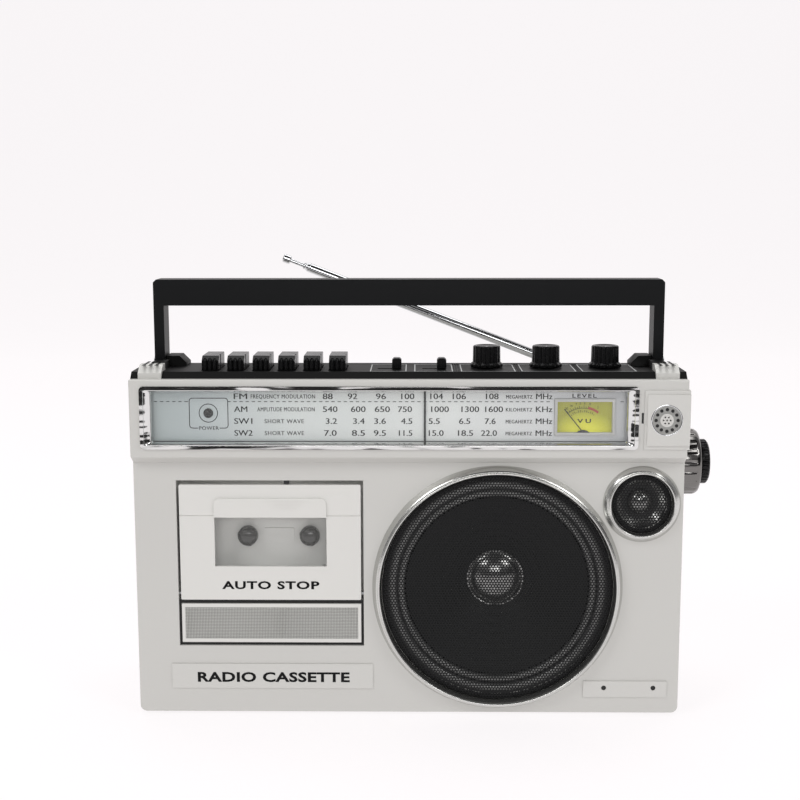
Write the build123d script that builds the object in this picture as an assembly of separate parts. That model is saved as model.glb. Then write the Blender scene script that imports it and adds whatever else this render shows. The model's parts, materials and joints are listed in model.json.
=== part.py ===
from build123d import *
import os
from math import atan2, cos, degrees, hypot, pi, radians, sin

# Portable radio cassette player.  Millimetres.  The pieces are modelled with X to the right, Y to the
# back and Z up, from the middle of the lower front face's bottom edge, and `save` moves each one so that
# the origin is on the surface under the feet, below the middle of the cabinet.

# Cabinet
cabinet_width = 368.0
cabinet_depth = 114.0
rim_height = 230.8  # underside to the rim that carries the top deck
front_shell_depth = 30.0
wall = 2.5
corner_radius = 4.5
foot_height = 2.0
foot_radius = 8.0
foot_inset = 20.0
rear_deck_drop = 5.3  # rear deck below the rim

# Dial fascia
fascia_proud = 8.0  # in front of the lower face
fascia_height = 57.0
fascia_undercut = 5.2
bezel_width, bezel_height = 328.4, 42.0
bezel_x, bezel_z = -12.8, 205.5
bezel_rail = 2.5
bezel_lip = 1.2  # rail in front of the fascia
bezel_flank = 3.0
window_thickness = 1.0
plate_thickness = 1.6
pointer_x = 11.1
pointer_travel_left, pointer_travel_right = 73.0, 46.0
vu_width, vu_height, vu_x, vu_z = 40.3, 24.6, 116.8, 205.2
lamp_x, lamp_z, lamp_radius = -132.5, 207.7, 3.2
mic_width, mic_height, mic_z = 28.8, 39.3, 204.3
mic_radius = 10.0

# Top deck and controls
deck_top = 235.0
deck_rear = 50.0
deck_plate = 2.5
key_width, key_pitch, first_key_x = 11.2, 17.0, -132.2
key_front, key_back, key_top = 8.0, 37.0, 244.5
key_axis_y, key_axis_z, key_pin = 42.5, 227.0, 2.0
key_angle = 6.0
knob_pitch, first_knob_x, knob_y = 40.0, 53.0, 25.0
knob_radius, knob_skirt, knob_height = 9.2, 11.1, 14.5
knob_shaft = 3.0
switch_width, switch_depth, switch_height = 6.3, 8.0, 7.5
switch_y = 18.0
function_x, band_x = -7.7, 22.4
switch_travel = 11.0
cap_width, cap_x, cap_depth, cap_height = 15.5, 170.7, 15.0, 8.7

# Handle
handle_width = 346.6
handle_leg, handle_depth, handle_bar = 7.0, 18.0, 17.7
handle_y = 39.0
pivot_z = 236.0
handle_reach = 58.2  # pivot to the top of the bar
pivot_radius = 3.0

# Antenna
antenna_x, antenna_y, antenna_z = 103.0, 105.0, 230.6
antenna_angle = 21.1
antenna_length = 209.0
antenna_radius, middle_radius, rod_radius = 3.5, 3.0, 1.5

# Cassette bay
bay_left, bay_right, bay_bottom, bay_top = -155.8, -30.1, 46.9, 161.8
bay_depth = 22.0
door_gap = 1.8
door_bottom = 79.2
door_thickness = 2.4
door_axis_y, door_axis_z, door_pin = 4.0, 83.0, 1.5
glass_left, glass_right, glass_bottom, glass_top = -130.5, -55.0, 102.5, 136.6
tab_height, tab_proud = 13.0, 1.4
hub_spacing, hub_x, hub_z, hub_radius = 42.5, -88.8, 119.75, 6.9
capstan_x, capstan_z, capstan_radius = -58.0, 96.0, 1.25
roller_x, roller_z, roller_radius = -58.0, 85.5, 6.0
arm_x, arm_z = -44.0, 84.0
head_lift = 4.0
flywheel_radius, pulley_radius = 17.0, 5.0
motor_x, motor_z, motor_radius = -128.0, 78.0, 16.0
mech_y = 24.0

# Loudspeakers
woofer_x, woofer_z, woofer_radius = 60.2, 87.6, 84.5
woofer_opening, woofer_rim = 75.0, 79.4
woofer_proud = 7.0
tweeter_x, tweeter_z, tweeter_radius = 156.2, 146.0, 26.0
tweeter_opening, tweeter_rim = 17.0, 20.9
tweeter_proud = 5.0
grille_thickness = 0.8
cone_radius = 62.0

# Tuning
tuning_y, tuning_z = 45.0, 166.5
tuning_radius, tuning_width = 23.0, 16.4
fine_radius, fine_width = 15.5, 6.1
tuning_shaft, fine_shaft = 4.0, 2.5
drum_radius, drum_x, drum_z, drum_y = 30.0, 120.0, 188.0, 60.0

# Power
battery_left, battery_right, battery_bottom, battery_top = -150.0, 20.0, 16.0, 74.0
battery_depth = 49.0

# Fits
running = 0.05  # radial play of a shaft that turns
gap = 0.3  # between pieces that pass each other

half = cabinet_width / 2
fascia_bottom = rim_height - fascia_height
rear_deck = rim_height - rear_deck_drop
door_left, door_right, door_top = bay_left + door_gap, bay_right - door_gap, bay_top - 3.0
leg_x = (handle_width - handle_leg) / 2
inner_back = cabinet_depth - wall
board_y = inner_back - 26.5
screw_x, screw_low, screw_high = half - 12.0, 12.0, rim_height - 18.8


def block(x0, x1, y0, y1, z0, z1):
    """Box between two opposite corners."""
    return Pos((x0 + x1) / 2, (y0 + y1) / 2, (z0 + z1) / 2) * Box(x1 - x0, y1 - y0, z1 - z0)


def rod_x(x0, x1, y, z, radius):
    return Pos((x0 + x1) / 2, y, z) * Rot(0, 90, 0) * Cylinder(radius, x1 - x0)


def rod_y(y0, y1, x, z, radius):
    return Pos(x, (y0 + y1) / 2, z) * Rot(90, 0, 0) * Cylinder(radius, y1 - y0)


def rod_z(z0, z1, x, y, radius):
    return Pos(x, y, (z0 + z1) / 2) * Cylinder(radius, z1 - z0)


def turned(*points):
    """Solid of revolution about Y, from (radius, y) points."""
    return revolve(make_face(Polyline(*points, close=True)), Axis.Y, 360)


def along_x(profile, x0, x1):
    """(y, z) outline extruded from x0 to x1."""
    face = Plane.YZ * make_face(Polyline(*profile, close=True))
    return Pos(x0, 0, 0) * extrude(face, x1 - x0)


def both_sides(shape):
    return [shape, mirror(shape, Plane.YZ)]


def ring_of(count, radius):
    """(a, b) offsets of evenly spaced points on a circle."""
    return [(radius * cos(2 * pi * i / count), radius * sin(2 * pi * i / count)) for i in range(count)]


def save(name, *shapes):
    solids = [solid for shape in shapes for solid in shape.solids()]
    moved = [Pos(0, -cabinet_depth / 2, foot_height) * solid for solid in solids]
    export_step(moved[0] if len(moved) == 1 else Compound(moved), f"parts/{name}.step")


def screw_places():
    return [(side * screw_x, z) for side in (-1, 1) for z in (screw_low, screw_high)]


# ---- cabinet ----


def front_cabinet():
    shell = block(-half, half, 0, front_shell_depth, 0, rim_height)
    shell = fillet(shell.edges().filter_by(Axis.Y).group_by(Axis.Z)[0], corner_radius)
    shell -= block(wall - half, half - wall, wall, front_shell_depth + 1, wall, rim_height + 1)
    shell -= block(bay_left, bay_right, -1, wall + 1, bay_bottom, bay_top)
    shell -= rod_y(-1, wall + 1, woofer_x, woofer_z, woofer_opening)
    shell -= rod_y(-1, wall + 1, tweeter_x, tweeter_z, tweeter_opening)
    shell -= block(vu_x - vu_width / 2 - gap, vu_x + vu_width / 2 + gap, -1, wall + 1,
                   vu_z - vu_height / 2 - gap, vu_z + vu_height / 2 + gap)
    shell -= rod_y(-1, wall + 1, lamp_x, lamp_z, lamp_radius + running)
    shell -= pointer_slot(-1, wall + 1)
    shell -= rod_y(-1, wall + 1, half - mic_width / 2, mic_z, mic_radius - 2)
    for x, z in screw_places():
        shell += rod_y(wall, front_shell_depth, x, z, 4)
        shell -= rod_y(front_shell_depth - 16, front_shell_depth + 1, x, z, 1.5 + running)
    for x in rail_ends():
        shell += block(x - 1, x + 1, wall, 10, rail_z() - 4, rail_z() + 4)
        shell -= rod_x(x - 2, x + 2, rail_y, rail_z(), rail_radius + running)
    for x in cord_studs():
        shell += rod_y(wall, 14, x, cord_z(), cord_stud)
    return shell


def battery_bay():
    """Bay moulded into the rear shell, open to the back."""
    outer = block(battery_left - 4, battery_right + 4, inner_back - battery_depth - 2, inner_back,
                  battery_bottom - 4, battery_top + 4)
    return outer - block(battery_left - 2, battery_right + 2, inner_back - battery_depth, inner_back + 1,
                         battery_bottom - 2, battery_top + 2)


def rear_cabinet():
    y0, y1 = front_shell_depth, cabinet_depth
    outline = [(y0, 0), (y1, 0), (y1, rear_deck), (deck_rear, rear_deck), (deck_rear, rim_height), (y0, rim_height)]
    shell = along_x(outline, -half, half)
    corners = shell.edges().filter_by(Axis.Y).group_by(Axis.Z)[0]
    shell = fillet(corners, corner_radius)
    inside = [(y0 - 1, wall), (inner_back, wall), (inner_back, rear_deck - wall),
              (deck_rear - wall, rear_deck - wall), (deck_rear - wall, rim_height + 1), (y0 - 1, rim_height + 1)]
    shell -= along_x(inside, wall - half, half - wall)
    shell += battery_bay()
    shell -= block(battery_left, battery_right, inner_back - 1, y1 + 1, battery_bottom, battery_top)
    hinge_y, hinge_z = battery_hinge()
    shell -= rod_x(battery_left - 2, battery_right + 2, hinge_y, hinge_z, 0.8 + running)
    shell -= rod_x(half - wall - 1, half + 1, tuning_y, tuning_z, tuning_shaft + running)
    shell -= rod_z(rear_deck - wall - 1, rear_deck + 1, antenna_x, antenna_y, 3 + running)
    for x, z, width, height in socket_places():
        shell -= block(x - width / 2 - 0.1, x + width / 2 + 0.1, inner_back - 1, y1 + 1,
                       z - height / 2 - 0.1, z + height / 2 + 0.1)
    for x, z in screw_places():
        shell += rod_y(y0, inner_back, x, z, 4.5)
        shell -= rod_y(y0 - 1, y0 + 11, x, z, 1.8)
        shell -= rod_y(y0 + 10, y1 + 1, x, z, 3.6)
    for x, z in board_corners():
        shell += rod_y(board_y + 1.6, inner_back, x, z, 4)
    for x in (-140, -2):
        shell += block(x - 2, x + 2, ferrite_y - 7, ferrite_y + 7, ferrite_z() - 7, rear_deck - wall)
        shell -= rod_x(x - 3, x + 3, ferrite_y, ferrite_z(), ferrite_radius + running)
    for i in range(14):
        x = 40 + 7 * i
        shell -= block(x, x + 3, inner_back - 1, y1 + 1, 85, 150)
    pocket = leg_pocket()
    for part in both_sides(pocket):
        shell -= part
    return shell


def leg_pocket():
    """Space round the foot of the handle's right leg, open to the back."""
    x0, x1 = leg_x - handle_leg / 2 - 0.5, leg_x + handle_leg / 2 + 2.2
    low = pivot_z - handle_depth / 2 - 0.5
    return block(x0, x1, handle_y - handle_depth / 2 - 0.5, deck_rear + 1, low, deck_top + 1)


def top_deck():
    outline = [(-3, rim_height), (1.5, deck_top), (deck_rear, deck_top), (deck_rear, rim_height)]
    deck = along_x(outline, 0.5 - half, half - 0.5)
    deck -= block(wall - half, half - wall, wall, deck_rear - wall, rim_height - 1, deck_top - deck_plate)
    low = pivot_z - handle_depth / 2 - 2
    side = block(leg_x - 17, leg_x + 7.5, handle_y - 11.5, deck_rear - wall - gap, low, deck_top)
    boss = block(leg_x - 17.8, leg_x - handle_leg / 2 - 0.5, handle_y - 6, deck_rear, deck_top - 1, deck_top + 7)
    boss = chamfer(boss.edges().filter_by(Axis.Y).group_by(Axis.Z)[-1].sort_by(Axis.X)[0], 5)
    ear = block(cap_x - 7.7, leg_x + 5.2, cap_depth - 3 + gap, handle_y - 10, deck_top - 1, deck_top + 5)
    ear = chamfer(ear.edges().filter_by(Axis.Y).group_by(Axis.Z)[-1].sort_by(Axis.X)[-1], 3)
    for part in both_sides(side) + both_sides(boss) + both_sides(ear):
        deck += part
    cap = block(cap_x - cap_width / 2 - 0.1, cap_x + cap_width / 2 + 0.1, -4, cap_depth - 3 + 0.1,
                rim_height - 1, deck_top + 1)
    screw = rod_x(leg_x - 14, leg_x + 12, handle_y, pivot_z, pivot_radius + 0.02)
    for part in both_sides(leg_pocket()) + both_sides(cap) + both_sides(screw):
        deck -= part
    for i in range(6):
        x = first_key_x + key_pitch * i
        deck -= block(x - key_width / 2 - 0.5, x + key_width / 2 + 0.5, key_front - 1.9, key_back + 1,
                      rim_height, deck_top + 1)
    for x in (function_x, band_x):
        deck -= block(x - switch_travel - 2, x + 2, switch_y - 1.9, switch_y + 1.9, rim_height, deck_top + 1)
    for i in range(3):
        deck -= rod_z(rim_height, deck_top + 1, first_knob_x + knob_pitch * i, knob_y, knob_shaft + 0.5)
    for x in (31.9, 73, 113):
        for offset in (-1.6, 0, 1.6):
            deck -= block(x + offset - 0.4, x + offset + 0.4, 3, deck_rear - 4, deck_top - 0.6, deck_top + 1)
    return deck


def deck_end_caps():
    y1 = cap_depth - 3
    top = rim_height + cap_height
    outline = [(-3, rim_height), (-3, rim_height + 3.7), (4, top), (y1, top), (y1, rim_height)]
    cap = along_x(outline, cap_x - cap_width / 2, cap_x + cap_width / 2)
    for i in (-1, 0, 1):
        cap -= rod_z(top - 0.8, top + 1, cap_x + 4.3 * i, 6.5, 1)
    return both_sides(cap)


def dial_fascia():
    z0, z1 = fascia_bottom, rim_height
    outline = [(0, z0), (-fascia_proud, z0 + fascia_undercut), (-fascia_proud, z1), (0, z1)]
    body = along_x(outline, -half, half)
    body -= bezel_opening(-fascia_proud - 1, 1, 0)
    body -= pointer_slot(-fascia_proud + 4.8, 1)
    body -= rod_y(-fascia_proud - 1, 1, half - mic_width / 2, mic_z, mic_radius - 2)
    return body


def bezel_opening(y0, y1, play):
    """Hole through the fascia that the bezel's body, the window and the plate fit into."""
    width, height = bezel_width / 2 - 1.5 - play, bezel_height / 2 - 0.6 - play
    return block(bezel_x - width, bezel_x + width, y0, y1, bezel_z - height, bezel_z + height)


def dial_bezel():
    front = -fascia_proud - bezel_lip
    lip = block(bezel_x - bezel_width / 2, bezel_x + bezel_width / 2, front, -fascia_proud,
                bezel_z - bezel_height / 2, bezel_z + bezel_height / 2)
    lip = fillet(lip.edges().filter_by(Axis.Y), 3)
    body = lip + bezel_opening(-fascia_proud, -fascia_proud + 3.5, 0.1)
    width, height = bezel_width - 2 * bezel_rail, bezel_height - 2 * bezel_rail
    outer = Plane.XZ * Pos(bezel_x, bezel_z) * Rectangle(width, height)
    inner = Plane.XZ * Pos(bezel_x, bezel_z - 0.7) * Rectangle(width - 2 * bezel_flank, height - 1.4)
    hole = loft([Pos(0, front - 0.01, 0) * outer, Pos(0, -fascia_proud + 3.51, 0) * inner])
    return body - hole


def dial_window():
    y0 = -fascia_proud + 3.5
    return bezel_opening(y0, y0 + window_thickness, 0.1)


def dial_plate():
    plate = bezel_opening(-plate_thickness, 0, 0.1)
    plate -= block(-half, half, -plate_thickness - 1, 1, 0, rail_z() - 1.3)
    plate -= block(vu_x - vu_width / 2 - 0.1, vu_x + vu_width / 2 + 0.1, -plate_thickness - 1, 1,
                   vu_z - vu_height / 2 - 0.1, vu_z + vu_height / 2 + 0.1)
    plate -= rod_y(-plate_thickness - 1, 1, lamp_x, lamp_z, lamp_radius + running)
    return plate


rail_y, rail_radius = 7.0, 1.2
cord_stud = 2.4


def rail_z():
    return bezel_z - bezel_height / 2 + 3


def cord_z():
    return rail_z() - 8


def rail_ends():
    return (pointer_x - pointer_travel_left - 8, pointer_x + pointer_travel_right + 8)


def cord_studs():
    left, right = rail_ends()
    return (left - 5, right + 5)


def pointer_slot(y0, y1):
    x0, x1 = pointer_x - pointer_travel_left - 2, pointer_x + pointer_travel_right + 2
    return block(x0, x1, y0, y1, rail_z() - 4.6, rail_z() - 1.6)


def dial_pointer():
    z0 = rail_z() - 4.3
    y0 = -plate_thickness - 1.3
    bar = block(pointer_x - 0.7, pointer_x + 0.7, y0, y0 + 0.7, z0, bezel_z + bezel_height / 2 - 2.6)
    foot = block(pointer_x - 0.7, pointer_x + 0.7, y0, rail_y - 3, z0, z0 + 2.2)
    runner = block(pointer_x - 5, pointer_x + 5, rail_y - 3, rail_y + 3, z0, rail_z() + 3)
    return bar + foot + runner - rod_x(pointer_x - 6, pointer_x + 6, rail_y, rail_z(), rail_radius + running)


def vu_meter_case():
    x0, x1 = vu_x - vu_width / 2, vu_x + vu_width / 2
    z0, z1 = vu_z - vu_height / 2, vu_z + vu_height / 2
    case = block(x0, x1, -plate_thickness - 1.4, 14, z0, z1)
    case -= block(x0 + 2, x1 - 2, -plate_thickness - 2, -plate_thickness + 0.8, z0 + 2, z1 - 2)
    x, z = vu_pivot()
    case -= block(x - 3, x + 3, -plate_thickness - 0.9, -plate_thickness + 0.8, z - 1.5, z + 1.5)
    return case


def vu_meter_needle():
    """Thin blade from a pivot low in the case, leaning to the left at rest."""
    y0 = -plate_thickness - 0.5
    x, z = vu_pivot()
    needle = block(-0.3, 0.3, y0, y0 + 0.4, 0, vu_needle_length) + rod_y(y0, y0 + 1, 0, 0, 1)
    return Pos(x, 0, z) * Rot(0, -vu_rest, 0) * needle


vu_rest, vu_needle_length = 39.0, 19.8


def vu_pivot():
    return vu_x - 1.1, vu_z - vu_height / 2 + 2.2


def power_lamp():
    lamp = rod_y(-plate_thickness - 0.8, 8, lamp_x, lamp_z, lamp_radius)
    return lamp + Pos(lamp_x, -plate_thickness + 0.7, lamp_z) * Sphere(2.2)


def microphone():
    x0, front = half - mic_width, -fascia_proud
    z0, z1 = mic_z - mic_height / 2, mic_z + mic_height / 2
    panel = block(x0, half + 1, front - 0.8, front, z0, z1)
    panel += block(x0 + 1.7, half + 1, front - 2, front - 0.8, z0 + 2.7, z1 - 2.7)
    panel += block(half, half + 1, front, 8, z0, z1)
    x = half - mic_width / 2
    for count, ring, radius in ((12, 7.2, 1.15), (6, 2.3, 0.6), (1, 0, 0.6)):
        for a, b in ring_of(count, ring):
            panel -= rod_y(front - 3, front + 1, x + a, mic_z + b, radius)
    panel -= block(x0 - 1, x0 + 1.2, front - 3, front - 0.3, mic_z - 3, mic_z + 4)
    capsule = rod_y(front + 1, front + 7, x, mic_z, 5) + rod_y(front + 5, front + 7, x, mic_z, mic_radius - 2.1)
    return panel, capsule


# ---- controls ----


def key(index):
    """Piano key on a lever that turns about the key shaft."""
    x, z0 = first_key_x + key_pitch * index, deck_top - 3.5
    w = key_width / 2
    outline = [(key_front, z0), (key_front, key_top - 3), (key_front + 4, key_top), (key_back, key_top), (key_back, z0)]
    cap = along_x(outline, x - w, x + w)
    cap -= block(x + w - 0.6, x + w + 1, key_front + 9, key_front + 12, z0 + 2, key_top + 1)
    arm = block(x - 3, x + 3, key_front + 16, key_axis_y, key_axis_z - 3.5, z0 + 1)
    eye = rod_x(x - 3, x + 3, key_axis_y, key_axis_z, 3.8)
    return cap + arm + eye - rod_x(x - 4, x + 4, key_axis_y, key_axis_z, key_pin + running)


def slide_switch(x):
    top = block(x - switch_width / 2, x + switch_width / 2, switch_y - switch_depth / 2,
                switch_y + switch_depth / 2, deck_top + gap, deck_top + switch_height)
    top = chamfer(top.edges().filter_by(Axis.Y).group_by(Axis.Z)[-1], 1.2)
    stem = block(x - 1.5, x + 1.5, switch_y - 1.5, switch_y + 1.5, deck_top - 8, deck_top + 1)
    return top + stem


def top_knob(x):
    z0 = deck_top + 0.6
    profile = [(0, z0), (knob_skirt, z0), (knob_skirt, z0 + 2.2), (knob_radius + 0.3, z0 + 3),
               (knob_radius, z0 + knob_height - 1), (knob_radius - 1, z0 + knob_height), (0, z0 + knob_height)]
    knob = Pos(x, knob_y, 0) * Rot(90, 0, 0) * turned(*profile)
    flutes = [rod_z(z0 + 3.2, z0 + knob_height + 1, x + a, knob_y + b, 0.9) for a, b in ring_of(16, knob_radius + 0.4)]
    flutes += [rod_z(z0 - 1, z0 + 3.4, x + a, knob_y + b, 1.6) for a, b in ring_of(12, knob_skirt + 1)]
    return knob - flutes + rod_z(control_board_z() + 3, z0 + 1, x, knob_y, knob_shaft)


def tuning_knob():
    x0 = half + 1.2
    x1 = x0 + tuning_width
    profile = [(0, x0), (tuning_radius - 2, x0), (tuning_radius, x0 + 2), (tuning_radius, x1 - 3),
               (tuning_radius - 3, x1), (0, x1)]
    wheel = Rot(0, 0, -90) * turned(*profile)
    flutes = [rod_x(x0 - 1, x1 - 2, a, b, 1.4) for a, b in ring_of(20, tuning_radius + 0.7)]
    wheel = Pos(0, tuning_y, tuning_z) * (wheel - flutes)
    shaft = rod_x(half - 36, x0 + 1, tuning_y, tuning_z, tuning_shaft)
    return wheel + shaft - rod_x(half - 40, x1 + 1, tuning_y, tuning_z, fine_shaft + running)


def fine_tuning_knob():
    x0 = half + 1.2 + tuning_width + 0.4
    x1 = x0 + fine_width
    profile = [(0, x0), (fine_radius, x0), (fine_radius, x1 - 1.5), (fine_radius - 1.5, x1), (0, x1)]
    knob = Rot(0, 0, -90) * turned(*profile)
    flutes = [rod_x(x0 - 1, x1 + 1, a, b, 0.8) for a, b in ring_of(30, fine_radius + 0.4)]
    return Pos(0, tuning_y, tuning_z) * (knob - flutes) + rod_x(half - 44, x0 + 1, tuning_y, tuning_z, fine_shaft)


def dial_drum():
    drum = rod_y(drum_y, drum_y + 6, drum_x, drum_z, drum_radius)
    drum -= turned_ring(drum_y + 2, drum_y + 4, drum_x, drum_z, drum_radius - 1.5, drum_radius + 1)
    for a, b in ring_of(4, drum_radius * 0.55):
        drum -= rod_y(drum_y - 1, drum_y + 7, drum_x + a, drum_z + b, 6)
    return drum + rod_y(drum_y + 5, drum_y + 16, drum_x, drum_z, 3)


def turned_ring(y0, y1, x, z, inner, outer):
    return rod_y(y0, y1, x, z, outer) - rod_y(y0 - 1, y1 + 1, x, z, inner)


# ---- handle and antenna ----


def carry_handle():
    outer = handle_width / 2
    y0, y1 = handle_y - handle_depth / 2, handle_y + handle_depth / 2
    top = pivot_z + handle_reach
    bar = block(-outer, outer, y0, y1, top - handle_bar, top)
    bar = chamfer(bar.edges().filter_by(Axis.Y).group_by(Axis.Z)[-1], 2)
    leg = block(outer - handle_leg, outer, y0, y1, pivot_z, top - handle_bar + 1)
    foot = rod_x(outer - handle_leg, outer, handle_y, pivot_z, handle_depth / 2)
    hole = rod_x(outer - handle_leg - 1, outer + 1, handle_y, pivot_z, pivot_radius + running)
    for part in both_sides(leg) + both_sides(foot):
        bar += part
    for part in both_sides(hole):
        bar -= part
    return bar


def antenna_pose():
    """Along -X from the pivot, raised by the resting angle."""
    return Pos(antenna_x, antenna_y, antenna_z) * Rot(0, antenna_angle, 0)


def antenna_turret():
    body = rod_z(rear_deck + gap, rear_deck + 1.9, antenna_x, antenna_y, 6)
    body += rod_z(rear_deck - wall - 3, rear_deck + 1, antenna_x, antenna_y, 3)
    for y in (-4.6, 2.9):
        ear = rod_y(antenna_y + y, antenna_y + y + 1.7, antenna_x, antenna_z, 3.6)
        ear += block(antenna_x - 3.6, antenna_x + 3.6, antenna_y + y, antenna_y + y + 1.7, rear_deck + 1, antenna_z)
        body += ear
    return body + rod_y(antenna_y - 4.6, antenna_y + 4.6, antenna_x, antenna_z, 1.2)


def antenna_tube():
    tongue = block(-9, 0, -2.5, 2.5, -2.3, 2.3) + rod_y(-2.5, 2.5, 0, 0, 2.3)
    tube = rod_x(-(antenna_length - 19), -8, 0, 0, antenna_radius)
    body = tongue + tube - rod_y(-6, 6, 0, 0, 1.2 + running)
    return antenna_pose() * (body - rod_x(-antenna_length, -12, 0, 0, middle_radius + running))


def antenna_middle_section():
    end = antenna_length - 16
    body = rod_x(-end + 3, -50, 0, 0, middle_radius)
    taper = turned((0, end - 3), (middle_radius, end - 3), (middle_radius - 1, end), (0, end))
    body += Rot(0, 0, 90) * taper
    return antenna_pose() * (body - rod_x(-antenna_length, -49, 0, 0, rod_radius + running))


def antenna_tip_rod():
    rod = rod_x(-antenna_length + 3, -70, 0, 0, rod_radius)
    tip = rod_x(-antenna_length, -antenna_length + 6, 0, 0, 3.25)
    return antenna_pose() * (rod + fillet(tip.edges(), 0.8))


# ---- cassette bay ----


def cassette_well():
    well = block(bay_left - 2, bay_right + 2, wall, bay_depth, bay_bottom - 2, bay_top + 2)
    well -= block(bay_left, bay_right, wall - 1, bay_depth - 2, bay_bottom, bay_top)
    well += block(bay_left, bay_right, wall, wall + 2.5, bay_bottom, door_bottom - 2.4)
    well += block(hub_x + 5, hub_x + 8, 1, wall + 3, bay_top - 2, bay_top + 1)
    for side in (-1, 1):
        well -= rod_y(bay_depth - 3, bay_depth + 1, hub_x + side * hub_spacing / 2, hub_z, 3.2)
    well -= rod_y(bay_depth - 3, bay_depth + 1, capstan_x, capstan_z, capstan_radius + 1)
    well -= rod_x(bay_left - 3, bay_right + 3, door_axis_y, door_axis_z, door_pin + 0.02)
    for x in head_studs():
        well += rod_y(15.5, bay_depth - 1, x, head_z, 1.5)
    well += rod_y(14.5, bay_depth - 1, arm_x, arm_z, 1.5)
    return well


head_z = 83.0


def head_studs():
    return (hub_x - 15, hub_x + 13)


def cassette_door():
    door = block(door_left, door_right, 0, door_thickness, door_bottom, door_top)
    door = fillet(door.edges().filter_by(Axis.Y), 1)
    tab = block(glass_left, glass_right, -tab_proud, 0.5, glass_top, glass_top + tab_height)
    tab = fillet(tab.edges().filter_by(Axis.Y).group_by(Axis.Z)[-1], 4)
    door += tab
    door -= block(glass_left, glass_right, -3, door_thickness + 1, glass_bottom, glass_top)
    for x0, x1 in ((door_left - 1, glass_left), (glass_right, door_right + 1)):
        door -= block(x0, x1, -1, 0.4, glass_top + 0.7, glass_top + 1.3)
    for x0, x1 in ((door_left + 0.2, door_left + 3.6), (door_right - 3.6, door_right - 0.2)):
        door += block(x0, x1, door_thickness - 0.5, door_axis_y + 3, door_bottom + 0.5, door_axis_z + 3)
    return door - rod_x(bay_left, bay_right, door_axis_y, door_axis_z, door_pin + running)


def door_window():
    pane = block(glass_left + 0.1, glass_right - 0.1, 0.3, door_thickness, glass_bottom + 0.1, glass_top - 0.1)
    return pane + block(glass_left - 2, glass_right + 2, door_thickness, door_thickness + 1,
                        glass_bottom - 2, glass_top + 2)


def cassette_holder():
    """Two cheeks and two ledges behind the door that carry the cassette."""
    x0, x1 = door_left + 2, door_right - 2
    z0, z1 = door_axis_z + 3.3, door_top - 6.8
    left = block(x0, x0 + 2.5, door_thickness, 15, z0, z1) + block(x0, x0 + 26, door_thickness, 13, z0, z0 + 1.5)
    right = block(x1 - 2.5, x1, door_thickness, 15, z0, z1) + block(x1 - 16, x1, door_thickness, 13, z0, z0 + 1.5)
    return left, right


def lower_panel():
    panel = block(door_left + 0.1, door_right, 0.3, wall, bay_bottom + 2.2, door_bottom - 2.8)
    for i in range(17):
        z = bay_bottom + 5.2 + 1.3 * i
        panel -= block(door_left + 1.6, door_right - 1.6, -1, 0.7, z, z + 0.6)
    return panel


def mechanism_plate():
    x0, x1 = bay_left + 5, bay_right - 5
    y1 = mech_y + 1.5
    top = rim_height - 15.8
    plate = block(x0, x1, mech_y, y1, bay_bottom + 3, top)
    plate += block(x0, x1, mech_y, deck_rear - 4, top - 1.5, top)
    for x in (x0, x1 - 1.5):
        plate += block(x, x + 1.5, key_axis_y - 4, key_axis_y + 4, top - 1, key_axis_z + 4.5)
    plate -= rod_x(x0 - 1, x1 + 1, key_axis_y, key_axis_z, key_pin + 0.02)
    for x in (x0 + 6, x1 - 6):
        for z in (bay_bottom + 8, bay_top - 8):
            plate += rod_y(bay_depth, mech_y + 0.5, x, z, 3)
    plate += rod_y(mech_y, mech_y + 22, capstan_x, capstan_z, 4)
    plate -= rod_y(mech_y - 1, mech_y + 23, capstan_x, capstan_z, capstan_radius + running)
    for side in (-1, 1):
        plate -= rod_y(mech_y - 1, y1 + 1, hub_x + side * hub_spacing / 2, hub_z, 2.5 + running)
    return plate


def spindle(side):
    x = hub_x + side * hub_spacing / 2
    r = hub_radius
    gear_y = mech_y + 4
    body = turned((0, 11), (0.4 * r, 11.3), (0.8 * r, 12.8), (r, 15.5), (r, bay_depth - 4), (2.5, bay_depth - 4),
                  (2.5, gear_y), (9, gear_y), (9, gear_y + 2), (0, gear_y + 2))
    teeth = [rod_y(gear_y - 1, gear_y + 3, a, b, 0.8) for a, b in ring_of(24, 9.2)]
    return Pos(x, 0, hub_z) * (body - teeth)


def capstan_flywheel():
    y0 = mech_y + 26
    shaft = rod_y(8, y0 + 8, capstan_x, capstan_z, capstan_radius)
    wheel = rod_y(y0, y0 + 8, capstan_x, capstan_z, flywheel_radius)
    return shaft + wheel - turned_ring(y0 - 1, y0 + 2, capstan_x, capstan_z, 5, flywheel_radius - 3)


def pinch_arm():
    bore = rod_y(14, 18, arm_x, arm_z, 1.5 + running)
    tilt = degrees(atan2(roller_z - arm_z, arm_x - roller_x))
    reach = hypot(roller_z - arm_z, arm_x - roller_x)
    link = Pos(arm_x, 16.25, arm_z) * Rot(0, tilt, 0) * Pos(-reach / 2, 0, 0) * Box(reach, 1.5, 5)
    body = link + rod_y(15.5, 17, arm_x, arm_z, 3.5) + rod_y(15.5, 17, roller_x, roller_z, 2.5)
    return body + rod_y(7.5, 16, roller_x, roller_z, 1) - bore


def pinch_roller():
    return turned_ring(8.5, 15, roller_x, roller_z, 1 + running, roller_radius)


def head_plate():
    x0, x1 = head_studs()
    plate = block(x0 - 8, x1 + 6, 16.5, 18, head_z - 8, head_z + 5)
    for x in (x0, x1):
        plate -= block(x - 1.6, x + 1.6, 16, 19, head_z - 5.7, head_z + 1.7)
    head = block(hub_x - 7, hub_x + 7, 7, 17, head_z + 1, head_z + 10)
    head = fillet(head.edges().filter_by(Axis.Y).group_by(Axis.Z)[-1], 3)
    return plate + head + block(x0 - 6, x0 + 1, 8, 17, head_z + 2, head_z + 9)


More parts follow.
